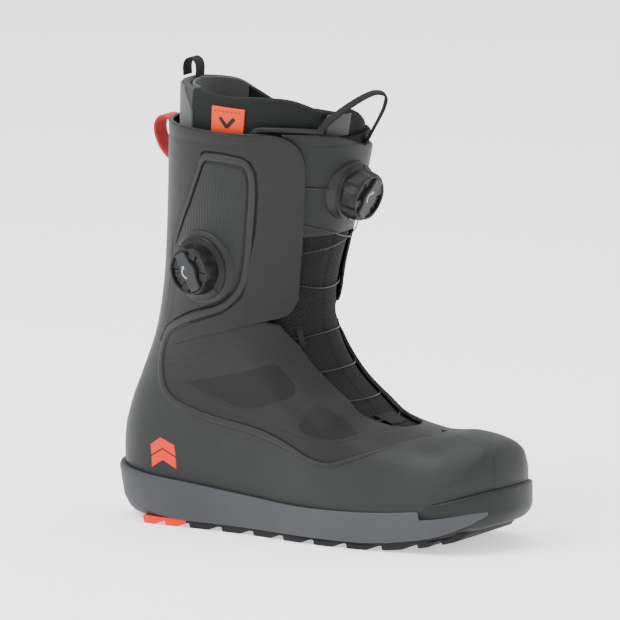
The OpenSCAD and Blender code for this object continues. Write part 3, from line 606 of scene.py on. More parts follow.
RED_WEB = cloth("red webbing", (196, 58, 58), 0.9, rough=0.7, depth=0.0002)
TAG = shade("orange tag", (196, 58, 22), 0.6, grain=1800, depth=0.00008)
CABLE = shade("cable steel", (52, 53, 54), 0.4, metal=0.6, grain=2500, depth=0.00002)
THREAD = shade("stitch thread", (66, 50, 42), 0.8, grain=1500, depth=0.00005)
DARK_THREAD = shade("dark thread", (32, 32, 33), 0.8, grain=1500, depth=0.00005)
FOOTBED = cloth("footbed top", (80, 82, 85), 1.2, rough=0.9)
HARNESS = cloth("harness laminate", (36, 36, 36), 1.2)
BOARD = shade("lasting board", (150, 136, 108), 0.8)
STIFF = shade("stiffener sheet", (92, 94, 95), 0.6)
STEEL = shade("screw steel", (120, 121, 122), 0.35, metal=0.9, grain=2500, depth=0.00001)

# ---- Lines on the skin, as (phi, level) ---------------------------------------------------
THROAT_LINE = [(46, 10), (125, 10), (133, 9.9), (145, 9.1), (153, 8), (158, 6.9), (160, 5.6),
               (165, 5.45), (180, 5.45)]
# The rib: from the recess's corner over its top, down its front, back along its bottom and to
# the toe
RIB = [(73.6, 13.5), (77, 13.51), (86, 13.51), (97, 13.48), (101, 13.42), (104, 13.26),
       (105.5, 12.96), (106.3, 12.5), (107, 11.9), (107.2, 11.45), (106.4, 11.08), (102.5, 10.78),
       (93, 10.46), (70, 10.13), (57, 9.86), (50.5, 9.62), (47.2, 9.2), (47, 8.6),
       (48.8, 7.9), (52, 6.85), (58.3, 6.0), (68.2, 5.3), (80.8, 4.64), (88.6, 3.76),
       (95.3, 2.78), (100.2, 2.36), (104.8, 2.28), (113.1, 2.7), (123.9, 3.26), (138.5, 3.84),
       (150, 4.12)]
# The lower shell's upper edge
LOW_TOP = [(0, 9.1), (45.8, 9.1), (46.4, 8.9), (48.5, 7.9), (51.6, 6.85), (58, 5.95), (68, 5.3),
           (80.8, 4.62), (88.6, 3.74), (95.3, 2.76), (100.2, 2.34), (104.8, 2.26), (113.1, 2.7),
           (123.9, 3.26), (138.5, 3.84), (160, 4.42), (180, 4.9)]
# The upper's lower edge: left of the recess, over it, down its front and along the flap
UPPER_LOW = [(0, 9.1), (44.2, 9.1), (44.8, 11.4), (45.6, 11.62), (49, 11.9), (55.5, 12.3), (61.5, 12.66),
             (67.5, 13.1), (71.5, 13.42), (74.5, 13.5), (78, 13.53), (86, 13.54), (97, 13.52),
             (102, 13.45), (104.8, 13.3), (106.4, 13.0), (107.4, 12.6), (108.2, 11.98), (108.7, 11.5),
             (109.4, 11.1), (111, 9.92), (120, 9.98), (133, 10.08), (139, 10.16), (143, 10.34),
             (146, 10.6)]
UPPER_HIGH = [(0, 14), (95, 14), (113, 14.07), (122, 14), (129.4, 13.83), (133.8, 13.6),
              (136, 13.32), (138.2, 12.75), (141.6, 11.96), (145, 11.05), (146, 10.7)]
# The recess's rear edge, behind the rib's corner
RECESS_REAR = [(49, 11.9), (55.5, 12.3), (61.5, 12.66), (67.5, 13.1), (71, 13.4)]
HINGE_PHI = 111
SHELL_TOP = -0.2
FLAP_RISE = 1.1
RIB_GROOVE = 1.3


SIDES = ((1, "lateral"), (-1, "medial"))


def mirror(phi, side):
    """The same place on the given side: 1 is the outer one, -1 the inner one."""
    return phi if side > 0 else 360 - phi


def mirrored(line, side):
    """The same line of (phi, level) points on the given side."""
    return [(mirror(q[0], side), q[1]) for q in line]


def low_top(phi):
    """The level of the lower shell's upper edge."""
    return table(LOW_TOP, folded(phi))


def groove(points, line, width, depth):
    """How far a groove along the line of (phi, level) points sinks the surface."""
    d = near(points, on_skin(line))
    return -depth * np.exp(-(2 * d / width)**2)


def inside(phi, level, outline):
    """True where (phi, level) lies in the outline."""
    hit = np.zeros(phi.shape, bool)
    p = outline + outline[:1]
    for (x0, y0), (x1, y1) in zip(p, p[1:]):
        if y0 == y1:
            continue
        cross = ((y0 > level) != (y1 > level)) & (phi < (x1 - x0) * (level - y0) / (y1 - y0) + x0)
        hit ^= cross
    return hit


def swell(points, phi, level, outline, height, soft):
    """A raised or sunk patch inside the outline, its side soft millimetres wide."""
    d = near(points, on_skin(outline + outline[:1]))
    sign = np.where(inside(phi, level, outline), 1.0, -1.0)
    return height * smooth(-soft / 2, soft / 2, d * sign)


# ---- Lower shell: heel, foxing and toe box in one -------------------------------------------
TOE_CAP = [(165, 0.2), (165, 1.34), (166.3, 2.07), (169.3, 2.73), (175, 3.2), (183, 3.36), (190, 3.1),
           (195, 2.5), (197, 1.4), (197, 0.2)]
DOTS = [(112, 2.3), (124, 2.9), (139, 3.55), (152, 3.8), (150, 3.2), (138, 2.9), (122, 2.2), (113, 1.8)]


def lower_shell():
    """The coated part under the rib, from the heel to the toe."""
    phis = np.concatenate([np.arange(0, 43, 1.2), np.arange(43, 60, 0.4), np.arange(60, 150, 0.8),
                           np.arange(150, 210, 0.5), np.arange(210, 300, 0.8), np.arange(300, 317, 0.4),
                           np.arange(317, 360, 1.2)])
    rows = np.concatenate([np.linspace(0, 0.985, 110), [0.993, 0.997, 0.999, 1.0]])
    phi, level = grid(phis, np.full(len(phis), 0.02), low_top(phis), rows)
    p = skin(phi, level, SHELL_TOP)
    lift = swell(p, phi, level, TOE_CAP, 0.5, 2.6)
    # the toe box stands up from the instep, its top corner boxy
    f = folded(phi)
    lift += 1.3 * smooth(148, 168, f) * np.exp(-((level - 2.9) / 1.0)**2)
    lift += 0.9 * smooth(140, 160, f) * smooth(2.2, 4.2, level)
    fox = smooth(52, 64, f) * smooth(114, 98, f) * smooth(0.9, 1.5, level)
    fox *= smooth(0, 0.7, low_top(f) - 0.5 - level)
    dots = np.zeros_like(f)
    for side in (1, -1):
        zone = mirrored(DOTS, side)
        dots = np.maximum(dots, swell(p, phi, level, zone, 1.0, 3.0))
    obj = panel("lower_shell", phi, level, -3.0, SHELL_TOP + lift, SHELL.mat, "shell", edge=0.7,
                closed=True, rim=[mirrored([q for q in LOW_TOP if q[0] >= 45.6], side) for side in (1, -1)],
                masks={"ripple": fox, "dots": dots})
    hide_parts("rear_shell", "lateral_foxing", "medial_foxing", "toe_box")


# ---- Upper skin from the heel over the recess to the flap's front edge -----------------------
FLAP_MARKS = [((122.5, 12.72), (134, 12.66)), ((124, 11.42), (135, 11.3)), ((124.5, 11.36), (134, 11.24)),
              ((126, 12.3), (132, 12.27)), ((120, 10.4), (140, 10.62))]


def upper(side, tag):
    phis = np.concatenate([np.arange(0.3, 43.8, 1.2), np.arange(43.8, 46, 0.15), np.arange(46, 80, 0.4),
                           np.arange(80, 100, 0.8), np.arange(100, 112, 0.2), np.arange(112, 146.1, 0.5)])
    rows = np.concatenate([np.linspace(0, 0.1, 24), np.linspace(0.11, 0.9, 90), np.linspace(0.91, 1, 16)])
    phi, level = grid(phis, table(UPPER_LOW, phis), curve(UPPER_HIGH, phis), rows)
    p = skin(phi, level, 0.0)
    lift = FLAP_RISE * smooth(66, 104, phi)
    # soft shoulder behind the recess, and a groove along the rib
    behind = [q for q in UPPER_LOW if 45 <= q[0] <= 74]
    lift -= 0.5 * smooth(6, 0, near(p, on_skin(behind)))
    lift -= RIB_GROOVE * np.exp(-((near(p, on_skin(RIB)) - 3.3) / 0.75)**2) * smooth(112, 110, phi)
    for a, b in FLAP_MARKS:
        lift += groove(p, [a, b], 1.4, 0.22)
    # a shallow channel under the collar
    lift += groove(p, [(0, 13.72), (60, 13.74), (96, 13.78)], 5.0, 0.25)
    f = mirror(phi, side)
    high = list(zip(phis[::6], curve(UPPER_HIGH, phis[::6]))) + [(146, 10.7)]
    rim = [mirrored(line, side) for line in
           (high, [(146, 10.7), (146, 10.6)], [q for q in UPPER_LOW if q[0] > 111.3],
            [q for q in UPPER_LOW if 45.2 <= q[0] <= 75])]
    low = -2.6 + 2.0 * smooth(109, 114, phi)
    obj = panel(f"{tag}_upper", f, level, low, SHELL_TOP + lift, FLAP.mat, "overlay", edge=1.0,
                rim=rim, body=None)
    hinge = skin(mirror(HINGE_PHI, side), 12.0)
    toward = skin(mirror(HINGE_PHI + 3.0, side), 12.0)
    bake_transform(obj)
    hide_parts(f"{tag}_cuff", f"{tag}_flap")


def under_band(side, tag):
    phis = np.arange(47.5, 114.6, 0.5)
    low = table([(46, 9.1), (57.5, 9.05), (79, 9.46), (106.7, 9.86), (111, 9.92), (115, 9.94)], phis)
    high = table([(46, 9.3), (50, 9.6), (55, 9.86), (70, 10.12), (93, 10.43), (104.5, 10.78), (108, 11.1),
                  (109.2, 11.5), (110, 12.1), (115, 12.5)], phis)
    phi, level = grid(phis, low, high, ticks(30, 0.7, 1.0))
    p = skin(phi, level, 0)
    lift = FLAP_RISE * smooth(66, 104, phi) + 0.1 - 0.5 * smooth(110.4, 113.6, phi)
    lift -= 1.1 * np.exp(-((near(p, on_skin(RIB)) - 3.3) / 0.75)**2) * smooth(110.5, 107, phi)
    panel(f"{tag}_under_band", mirror(phi, side), level, -2.4, SHELL_TOP + lift, FLAP.mat, "overlay",
          edge=0.8,
          rim=[mirrored(zip(phis, low), side)])


def recess(side, tag):
    levels = np.linspace(9.1, 13.54, 150)
    rear = table([(9.1, 44.2), (11.4, 44.8), (11.62, 45.6), (11.9, 49), (12.3, 55.5), (12.66, 61.5),
                  (13.1, 67.5), (13.42, 71.5), (13.54, 74)], levels)
    front = table([(9.1, 45.8), (9.5, 48), (9.8, 56), (10.15, 72), (10.5, 96), (10.85, 107), (11.5, 110),
                   (13, 108), (13.54, 102)], levels)
    phi, level = rows_grid(levels, rear, front, np.linspace(0, 1, 130))
    fade = smooth(11.2, 12.2, level) * smooth(13.3, 12.95, level)
    fade *= smooth(1, 6, phi - np.interp(level, levels, rear)) * smooth(103, 97, phi)
    lift = -0.5 * smooth(45.5, 54, phi) + FLAP_RISE * smooth(66, 104, phi)
    p = skin(phi, level, 0)
    lift -= 1.1 * np.exp(-((near(p, on_skin(RIB)) - 3.3) / 0.75)**2)
    lift -= 0.9 * np.exp(-((near(p, on_skin(RECESS_REAR)) - 1.3) / 0.8)**2)
    obj = panel(f"{tag}_recess", mirror(phi, side), level, -3.0, SHELL_TOP + lift, PANEL.mat, "overlay",
                edge=0.0, masks={"ripple": fade})
    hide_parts("dial_panel" if side > 0 else "medial_panel")
    line = RECESS_REAR + RIB
    route = mirrored(line, side)
    stand = [(46, 0.2), (60, 0.3), (104, 1.05), (120, 0.4), (150, -0.7)]
    height = [(float(table(stand, a)),) for a, _ in line]
    profile = crown(5.2, 0.95, -2.2, 11, 5.0)
    run = run_length(on_skin(line))
    toe = run[8 * (len(RECESS_REAR) + RIB.index((88.6, 3.76)))]
    rib = skin_sweep(f"{tag}_rib", [q + h for q, h in zip(route, height)], profile, RIB_COAT.mat,
                     "overlay", out=-0.7,
                     taper=[(0, 0.15), (20, 0.42), (62, 0.5), (72, 1.0), (toe, 1.0), (toe + 40, 0.5),
                            (900, 0.4)])
    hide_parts(f"{tag}_piping")


# ---- Quarters, one wrap from side to side below the throat -----------------------------------
WINDOWS = {"rear_window": [(62.9, 7.26), (92, 7.95), (125, 8.57), (130.5, 8.25), (133, 7.63), (127, 7.1),
                           (95.9, 5.98), (88, 6.0)],
           "front_window": [(109.5, 5.26), (122, 6.05), (138, 6.78), (145, 6.6), (147.1, 6.09), (140, 5.5),
                            (115, 3.9), (106.7, 3.9), (105.5, 4.4)]}


# Soft grooves over and under the windows
QUARTER_LINES = [[(58, 8.2), (75, 8.75), (100, 9.2), (122, 9.25), (134, 8.9), (140, 8.2), (146, 7.2)],
                 [(100, 5.2), (104, 4.0), (112, 3.6), (126, 4.3), (142, 5.0), (150, 5.9)]]


def quarters():
    """The panels on both sides of the throat."""
    phis = np.concatenate([np.arange(47, 60, 0.6), np.arange(60, 150, 0.8), np.arange(150, 166, 0.3),
                           np.arange(166, 194, 0.9), np.arange(194, 210, 0.3), np.arange(210, 300, 0.8),
                           np.arange(300, 313.1, 0.6)])
    f = folded(phis)
    high = np.where(f < 52, 9.4, table(THROAT_LINE, f))
    phi, level = grid(phis, low_top(phis) + 0.02 - 0.14 * smooth(160, 172, f), high, np.linspace(0, 1, 96))
    p = skin(phi, level, -0.7)
    lift = np.zeros(phi.shape)
    for side in (1, -1):
        for outline in WINDOWS.values():
            zone = mirrored(outline, side)
            lift += swell(p, phi, level, zone, -0.2, 3.5)
        lift += groove(p, mirrored(QUARTER_LINES[0], side), 2.5, 0.3)
        lift += groove(p, mirrored(QUARTER_LINES[1], side), 2.2, 0.25)
    rim = [mirrored([(125, 10), *THROAT_LINE[2:]], side) for side in (1, -1)]
    obj = panel("quarters", phi, level, -3.0, -0.7 + lift, QUARTER.mat, "shell_dark", edge=1.3, rim=rim)
    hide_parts("lateral_quarter", "medial_quarter")


def patch(name, outline, out, thick, material, edge=0.5, rings=14):
    """A thin film on the skin, cut to a rounded outline of (phi, level) corners."""
    n = len(outline)
    t = np.linspace(0, n, 20 * n + 1)[:-1]
    base = np.array(outline, float)
    i = t.astype(int)
    f = (t - i)[:, None]
    a, b, c, d = (base[(i + k) % n] for k in (-1, 0, 1, 2))
    line = b + (c - b) * f
    soft = 0.5 * ((-a + c) * f + (2 * a - 5 * b + 4 * c - d) * f**2 + (-a + 3 * b - 3 * c + d) * f**3) + b
    line = 0.6 * line + 0.4 * soft
    mid = base.mean(0)
    r = np.concatenate([np.linspace(0.06, 0.93, rings), [0.96, 0.98, 0.99, 1.0]])
    at = mid + (line[None] - mid) * r[:, None, None]
    phi, level = at[..., 0], at[..., 1]
    rimline = skin(line[:, 0], line[:, 1], out)
    flat = skin(phi, level, out)
    dist = near(flat, np.concatenate([rimline, rimline[:1]]))
    drop = edge * (1 - np.sqrt(1 - (1 - np.minimum(dist / edge, 1))**2))
    top = skin(phi, level, out + thick - drop * thick / edge)
    top = np.concatenate([top, skin(phi[-1:], level[-1:], out - 0.3)])
    m, k = top.shape[0], top.shape[1]
    pts = top.reshape(-1, 3)
    faces = facing(pts, ring_faces(m, k), skin(mid[0], mid[1], 5.0) - skin(mid[0], mid[1], 0.0))
    return piece(name, pts, faces, material, uv=np.repeat(pts[:, :1], 2, 1))


def windows():
    """The thin dark films in the quarters."""
    for side, tag in SIDES:
        for name, outline in WINDOWS.items():
            zone = mirrored(outline, side)
            mid = np.mean(zone, 0)
            zone = [tuple(mid + (np.array(q) - mid) * 0.93) for q in zone]
            patch(f"{tag}_{name}", zone, -1.18, 0.3, WINDOW.mat)
    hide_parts("quarter_windows")


def heel_mark():
    for k, base in enumerate((1.75, 2.55)):
        us, vs = ticks(24, 0.8, 0.4), ticks(8, 0.8, 0.4)
        u, v = np.meshgrid(us, vs)
        phi = 42 + 10 * u
        level = base + 0.7 * v - 0.5 * np.abs(2 * u - 1)
        panel(f"heel_chevron_{k}", phi, level, -0.5, 0.35, MARK.mat, "accent_print", edge=0.4)
    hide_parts("heel_mark")


# ---- Tongue, shield, lacing ------------------------------------------------------------------
def outer_tongue():
    """The mesh tongue under the laces."""
    phi, level = grid(np.linspace(128, 232, 150), np.full(150, 5.1), np.full(150, 13.95),
                      np.linspace(0, 1, 260))
    p = skin(phi, level, 0)
    lift = 0.35 * smooth(172, 178, phi)
    lift += groove(p, [(174, 5.2), (174, 8), (173, 11.9)], 1.2, 0.3)
    folds = np.maximum(np.sin((level - 9.6) * 2 * math.pi / 0.5), 0)
    lift += 0.5 * folds * smooth(10.8, 10.3, level) * smooth(9.4, 9.9, level)
    obj = panel("outer_tongue_mesh", phi, level, -6.6, -4.9 + lift, MESH.mat, "mesh", edge=0.8)
    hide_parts("outer_tongue")


def front_shield():
    """The stiff panel on the tongue, under the front dial."""
    levels = 12.02 + (14.08 - 12.02) * ticks(72, 0.9, 2.0)
    side = table([(12.0, 146), (12.05, 141), (12.15, 136), (12.4, 131), (13.6, 124), (13.9, 120),
                  (14.08, 119)], levels)
    phi, level = rows_grid(levels, side, 360 - side, ticks(140, 1.0, 2.0))
    level = level - 0.42 * smooth(142, 200, phi) * smooth(13.2, 14.1, level)
    p = skin(phi, level, 0)
    lift = groove(p, [(141, 12.14), (154, 12.17), (174, 12.06), (200, 12.15), (219, 12.14)], 1.4, 0.35)
    lift += groove(p, [(139, 13.86), (160, 13.83), (200, 13.83), (221, 13.86)], 2.4, 0.4)
    raised = smooth(12.3, 12.9, level) * smooth(13.9, 13.5, level)
    lift += 0.7 * raised * smooth(0, 40, 50 - np.abs(phi - 176))
    obj = panel("front_shield_pad", phi, level, -4.4, -1.9 + lift, SHIELD.mat, "overlay", edge=1.6)
    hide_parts("front_shield")


CUFF_GUIDES = [(12.1, 13.32), (10.63, 11.97)]


def tunnel(name, phi0, phi1, level0, level1, base, rise):
    """A sewn-down fabric tunnel that the cable turns in."""
    u, v = np.meshgrid(ticks(10, 0.8, 0.5), ticks(30, 0.8, 0.5))
    phi = phi0 + (phi1 - phi0) * u
    level = level0 + (level1 - level0) * v
    arch = smooth(0.08, 0.14, v) * smooth(0.92, 0.86, v)
    return panel(name, phi, level, base + arch * rise - 0.35, base + arch * rise, BLACK_WEB.mat,
                 "webbing_black", edge=0.3, keep=1)


def lacing():
    for side, tag in SIDES:
        made = [tunnel(f"{tag}_cuff_guide_{k}", *sorted((mirror(127, side), mirror(133, side))), a, b,
                       -2.0, 1.6)
                for k, (a, b) in enumerate(CUFF_GUIDES)]
        for k, (a, b, c, d) in enumerate([(146, 151, 9.0, 9.75), (141, 146, 6.8, 8.3)]):
            made.append(tunnel(f"{tag}_throat_guide_{k}", *sorted((mirror(a, side), mirror(b, side))), c, d,
                               -4.2, 1.0))
        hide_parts(f"{tag}_guides")
    loop = tunnel("toe_loop", 168, 188, 5.7, 6.3, -4.4, 1.5)
    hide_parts("toe_lace_loop")
    cable(UPPER_ROUTE, "upper_lace_cable", "upper_lace")
    cable(LOWER_ROUTE, "lower_lace_cable", "lower_lace")


HUG, ON_SHIELD, ON_TONGUE, UNDER_SHELL = -0.68, 0.1, -3.45, -4.0
UPPER_ROUTE = [(163, 12.98, ON_SHIELD), (150, 13.0, ON_SHIELD), (139, 13.03, HUG), (131, 13.04, HUG),
               (128.5, 12.9, HUG), (128.5, 12.5, HUG), (131, 12.36, HUG), (139, 12.31, HUG),
               (150, 12.22, ON_SHIELD), (165, 12.1, ON_SHIELD), (180, 11.95, -1.4), (195, 11.85, -1.8),
               (210, 11.77, -1.2), (221, 11.72, HUG), (229, 11.7, HUG), (231.5, 11.5, HUG),
               (231.5, 11.1, HUG), (229, 10.95, HUG), (222, 10.9, -0.8), (212, 10.82, -2.8),
               (195, 10.75, ON_TONGUE), (180, 10.72, ON_TONGUE), (165, 10.76, ON_TONGUE),
               (148, 10.88, -2.6), (139, 10.92, -0.8), (131, 10.95, HUG), (128.5, 11.1, HUG),
               (128.5, 11.5, HUG), (131, 11.66, HUG), (139, 11.68, HUG), (150, 11.7, -1.2),
               (165, 11.74, -1.8), (180, 11.8, -2.6), (195, 11.98, -1), (210, 12.15, ON_SHIELD),
               (221, 12.28, ON_SHIELD), (229, 12.36, HUG), (231.5, 12.5, HUG), (231.5, 12.9, HUG),
               (229, 13.04, HUG), (221, 13.03, HUG), (210, 13.0, ON_SHIELD), (199, 12.98, ON_SHIELD)]
LOWER_ROUTE = [(104, 10.6, UNDER_SHELL), (112, 10.2, UNDER_SHELL), (124, 9.7, UNDER_SHELL),
               (135, 9.42, UNDER_SHELL), (147, 9.35, UNDER_SHELL), (160, 9.4, ON_TONGUE),
               (180, 9.45, ON_TONGUE), (200, 9.45, ON_TONGUE), (213, 9.4, UNDER_SHELL),
               (220, 9.2, UNDER_SHELL), (220, 8.5, UNDER_SHELL), (213, 8.25, UNDER_SHELL),
               (203, 8.2, ON_TONGUE), (180, 8.2, ON_TONGUE), (157, 8.15, ON_TONGUE),
               (147, 8.1, UNDER_SHELL), (141, 7.8, UNDER_SHELL), (141, 7.3, UNDER_SHELL),
               (149, 7.0, UNDER_SHELL), (161, 6.98, ON_TONGUE), (180, 7.0, ON_TONGUE),
               (199, 6.98, ON_TONGUE), (211, 6.9, UNDER_SHELL), (218, 6.6, UNDER_SHELL),
               (217, 6.2, UNDER_SHELL), (208, 6.05, UNDER_SHELL), (198, 6.02, ON_TONGUE),
               (180, 6, ON_TONGUE), (167, 6.0, ON_TONGUE), (155, 5.95, UNDER_SHELL),
               (146, 5.8, UNDER_SHELL)]


def cable(route, name, node):
    at = path(route, np.linspace(0, len(route) - 1, 8 * (len(route) - 1) + 1))
    points = skin(at[:, 0], at[:, 1], at[:, 2])
    along = frames(points)
    side = unit(np.cross(along, np.array([0.3, 0.2, 1.0])))
    obj = sweep(name, points, side, unit(np.cross(side, along)), circle(0.42, 8), CABLE.mat, "cable")
    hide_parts(node)


# ---- Sole ------------------------------------------------------------------------------------
def spring(x):
    """How far the sole lifts off the ground at x."""
    return 15 * np.clip((x - 60) / 90, 0, 1)**1.7


# The level whose outline the sole follows
SOLE_LEVEL = 0.8


def ring_solid(name, phis, section, material):
    """A solid along the sole's outline. section(phi) gives the cross-section's (out, z) points."""
    rings = []
    for phi in phis:
        s = np.array(section(phi), float)
        p = skin(np.full(len(s), phi), np.full(len(s), SOLE_LEVEL), s[:, 0])
        rings.append(np.stack([p[:, 0], p[:, 1], s[:, 1]], -1))
    rings = np.array(rings)
    n, m = rings.shape[:2]
    pts = rings.reshape(-1, 3)
    faces = ring_faces(n, m)
    faces = facing(pts, faces, pts[faces[0]].mean(0) - rings[0].mean(0))
    run = np.arange(n)[:, None] * 1.0 + np.zeros(m)[None]
    uv = np.stack([run, rings[..., 2]], -1).reshape(-1, 2)
    return piece(name, pts, faces, material, uv=uv, crease=35)


FOAM_LINE = [(-154, 38.5), (-110, 34), (-88, 32), (-43, 28), (-2, 25.5), (34, 25.3), (77, 26.8), (103, 29.4)]
TAIL_TOP = [(102, 23.6), (114, 24.8), (125, 26.8), (136, 28.8), (143, 29.8)]
TAIL_LOW = [(60, 5.0), (80, 6.2), (102, 9.6), (115, 12.8), (125, 16.4), (135, 21.5), (143, 27)]
HEEL_IN = [(0, 20), (1, 16), (3, 11), (6, 7), (13, 3.6), (24, 1.4), (36, 0), (50, 0)]
TAIL_END = 144.0
STEP_X = 102.0
BUMPER_TOP = [(96, 29.4), (111, 33.5), (121, 36.3), (131, 39.3), (142, 42.4), (156, 45.6)]
FOAM_OUT = 3.4


def side_x(phi, out):
    return float(skin(phi, 0.8, out)[0])


def heel_cut(phi, z):
    """How far the sole's wall draws in near the ground at the heel, where it rounds under."""
    return float(smooth(62, 25, folded(phi))) * float(table(HEEL_IN, z))


def midsole():
    def section(phi):
        x = side_x(phi, FOAM_OUT)
        low = float(table(TAIL_LOW, x)) if x > 60 else 5.0 - 3.8 * float(smooth(-118, -123, x))
        if x < STEP_X:
            top = float(curve(FOAM_LINE, x))
        else:
            top = float(table(TAIL_TOP, x))
            top = top + (float(curve(FOAM_LINE, x)) - top) * float(smooth(STEP_X + 1.6, STEP_X, x))
        left = TAIL_END - x
        if left < 7:
            mid = (low + top) / 2
            k = math.sqrt(max(1 - (1 - max(left, 0) / 7)**2, 0.0004))
            low, top = mid + (low - mid) * k, mid + (top - mid) * k
        h = top - low
        lip = 0.35 * float(smooth(-60, -140, x))
        ridge_z = low + 0.42 * h
        pts = [(-14, low + 0.02 * h)]
        for t in (0.0, 0.04, 0.1, 0.18, 0.28, 0.38, 0.44, 0.5, 0.6, 0.7, 0.8, 0.88, 0.93, 0.97, 1.0):
            z = low + t * h
            tall = min(h / 20, 1)
            out = FOAM_OUT - tall * (1.6 * max(1 - t / 0.16, 0)**2 + 0.9 * max((t - 0.88) / 0.12, 0)**2)
            out += 0.35 * math.exp(-((z - ridge_z) / 3.0)**2) * tall
            out += lip * math.exp(-((t - 0.93) / 0.05)**2)
            out -= heel_cut(phi, z)
            pts.append((out, z))
        inner = 0.35 if top > 25 else 1.2
        pts += [(inner, top - 0.15 * min(h / 20, 1)), (inner, max(min(23.6, top - 0.3 * h), low + 0.3 * h)),
                (-14, max(min(23.6, top - 0.3 * h), low + 0.3 * h))]
        return pts

    ends = np.linspace(120, 160, 400)
    last = ends[np.argmin([abs(side_x(e, FOAM_OUT) - TAIL_END) for e in ends])]
    marks = np.concatenate([np.arange(0, 90, 1.5), np.arange(90, last - 6, 0.6),
                            np.linspace(last - 6, last - 0.01, 26)])
    phis = np.concatenate([-marks[:0:-1], marks])
    obj = ring_solid("midsole_wall", phis, section, FOAM.mat)
    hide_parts("midsole")


def toe_bumper():
    def section(phi):
        x = side_x(phi, 3.0)
        top = float(table(BUMPER_TOP, x))
        front = float(smooth(118, 146, x))
        face = 0.25 + 2.6 * float(smooth(98, 136, x))
        # the underside rises and rounds into the front
        rise = 6.5 * front
        pts = []
        for out in (-18, -14, -10, -7, -4, -1.5, 0.3, 1.6, 2.4):
            deep = (out - 2.4) / 20.4 * front + (out - 2.4) / 60 * (1 - front)
            inner = x + (out - 2.4) * front
            z = 4.6 + float(spring(inner)) + rise * math.exp(deep * 7)
            pts.append((min(out, face - 0.4) if out > -2 else out, min(z, top - 6)))
        low = pts[-1][1]
        h = top - low
        for t in np.concatenate([np.linspace(0.06, 0.9, 14), [0.93, 0.96, 0.98, 1.0]]):
            out = face + 0.2 * math.sin(math.pi * t) * front
            out -= max((t - 0.92) / 0.08, 0)**2 * min(face / 2, 1)
            out -= 0.35 * max(1 - t / 0.12, 0)
            pts.append((out, low + t * h))
        pts += [(-0.3, top - 0.1), (-0.6, max(26.5, low + 3)), (-18, max(26.0, low + 3))]
        return pts

    starts = np.linspace(100, 140, 400)
    first = starts[np.argmin([abs(side_x(e, 3.0) - 96) for e in starts])]
    phis = np.concatenate([np.arange(first, 360 - first, 0.8)])
    obj = ring_solid("toe_rand", phis, section, BUMPER.mat)
    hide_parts("toe_bumper")


LUG_STARTS = [-82, -56, -30, -4, 22, 48, 74, 100]
LUG_GAP = 3.0
HEEL_LUGS = [(-119, -102), (-101, -83.5)]


def sole_half(x, inset):
    """Half-widths of the sole at x: outer side and inner side, as y."""
    phis = np.linspace(0, 360, 721)
    p = skin(phis, 0.8, 0.8 - inset)
    out = []
    for pick in (folded(phis) == phis, folded(phis) != phis):
        q = p[pick]
        order = np.argsort(q[:, 0])
        out.append(np.interp(x, q[order, 0], q[order, 1]))
    return out


def lug(name, x0, x1, y0, y1, z0, z1, material, bevel=0.5, slant=0.8, front=7.0):
    """A tread block between two ends and two sides (functions of x), narrower at the bottom; its
    front end slopes."""
    nx, ny = 10, 8
    us = np.array([0, 0.03, *np.linspace(0.1, 0.9, nx - 4), 0.97, 1])
    vs = np.array([0, 0.03, *np.linspace(0.1, 0.9, ny - 4), 0.97, 1])
    layers = [(0.0, bevel), (bevel, 0.0), (z1 - z0, 0.0)]
    pts, n = [], len(us) * len(vs)
    for rise, shrink in layers:
        pull = slant * (1 - rise / (z1 - z0)) + shrink
        for v in vs:
            for u in us:
                lean = min(front, 0.4 * (x1 - x0)) * (1 - rise / (z1 - z0))
                x = x0 + pull + (x1 - lean - x0 - 2 * pull) * u
                a, b = y0(x) + shrink, y1(x) - shrink
                pts.append((x, a + (b - a) * v, z0 + rise + float(spring(x))))
    w = len(us)
    faces = []
    for j in range(len(vs) - 1):
        for i in range(w - 1):
            a = j * w + i
            faces.append([a, a + w, a + w + 1, a + 1])
            faces.append([2 * n + a, 2 * n + a + 1, 2 * n + a + w + 1, 2 * n + a + w])
    border = [i for i in range(w)] + [j * w + w - 1 for j in range(1, len(vs))]
    border += [(len(vs) - 1) * w + i for i in range(w - 2, -1, -1)]
    border += [j * w for j in range(len(vs) - 2, 0, -1)]
    for lay in (0, 1):
        for k, a in enumerate(border):
            b = border[(k + 1) % len(border)]
            faces.append([lay * n + a, lay * n + b, (lay + 1) * n + b, (lay + 1) * n + a])
    return piece(name, pts, faces, material, uv=[(p[0], p[1]) for p in pts], crease=30)


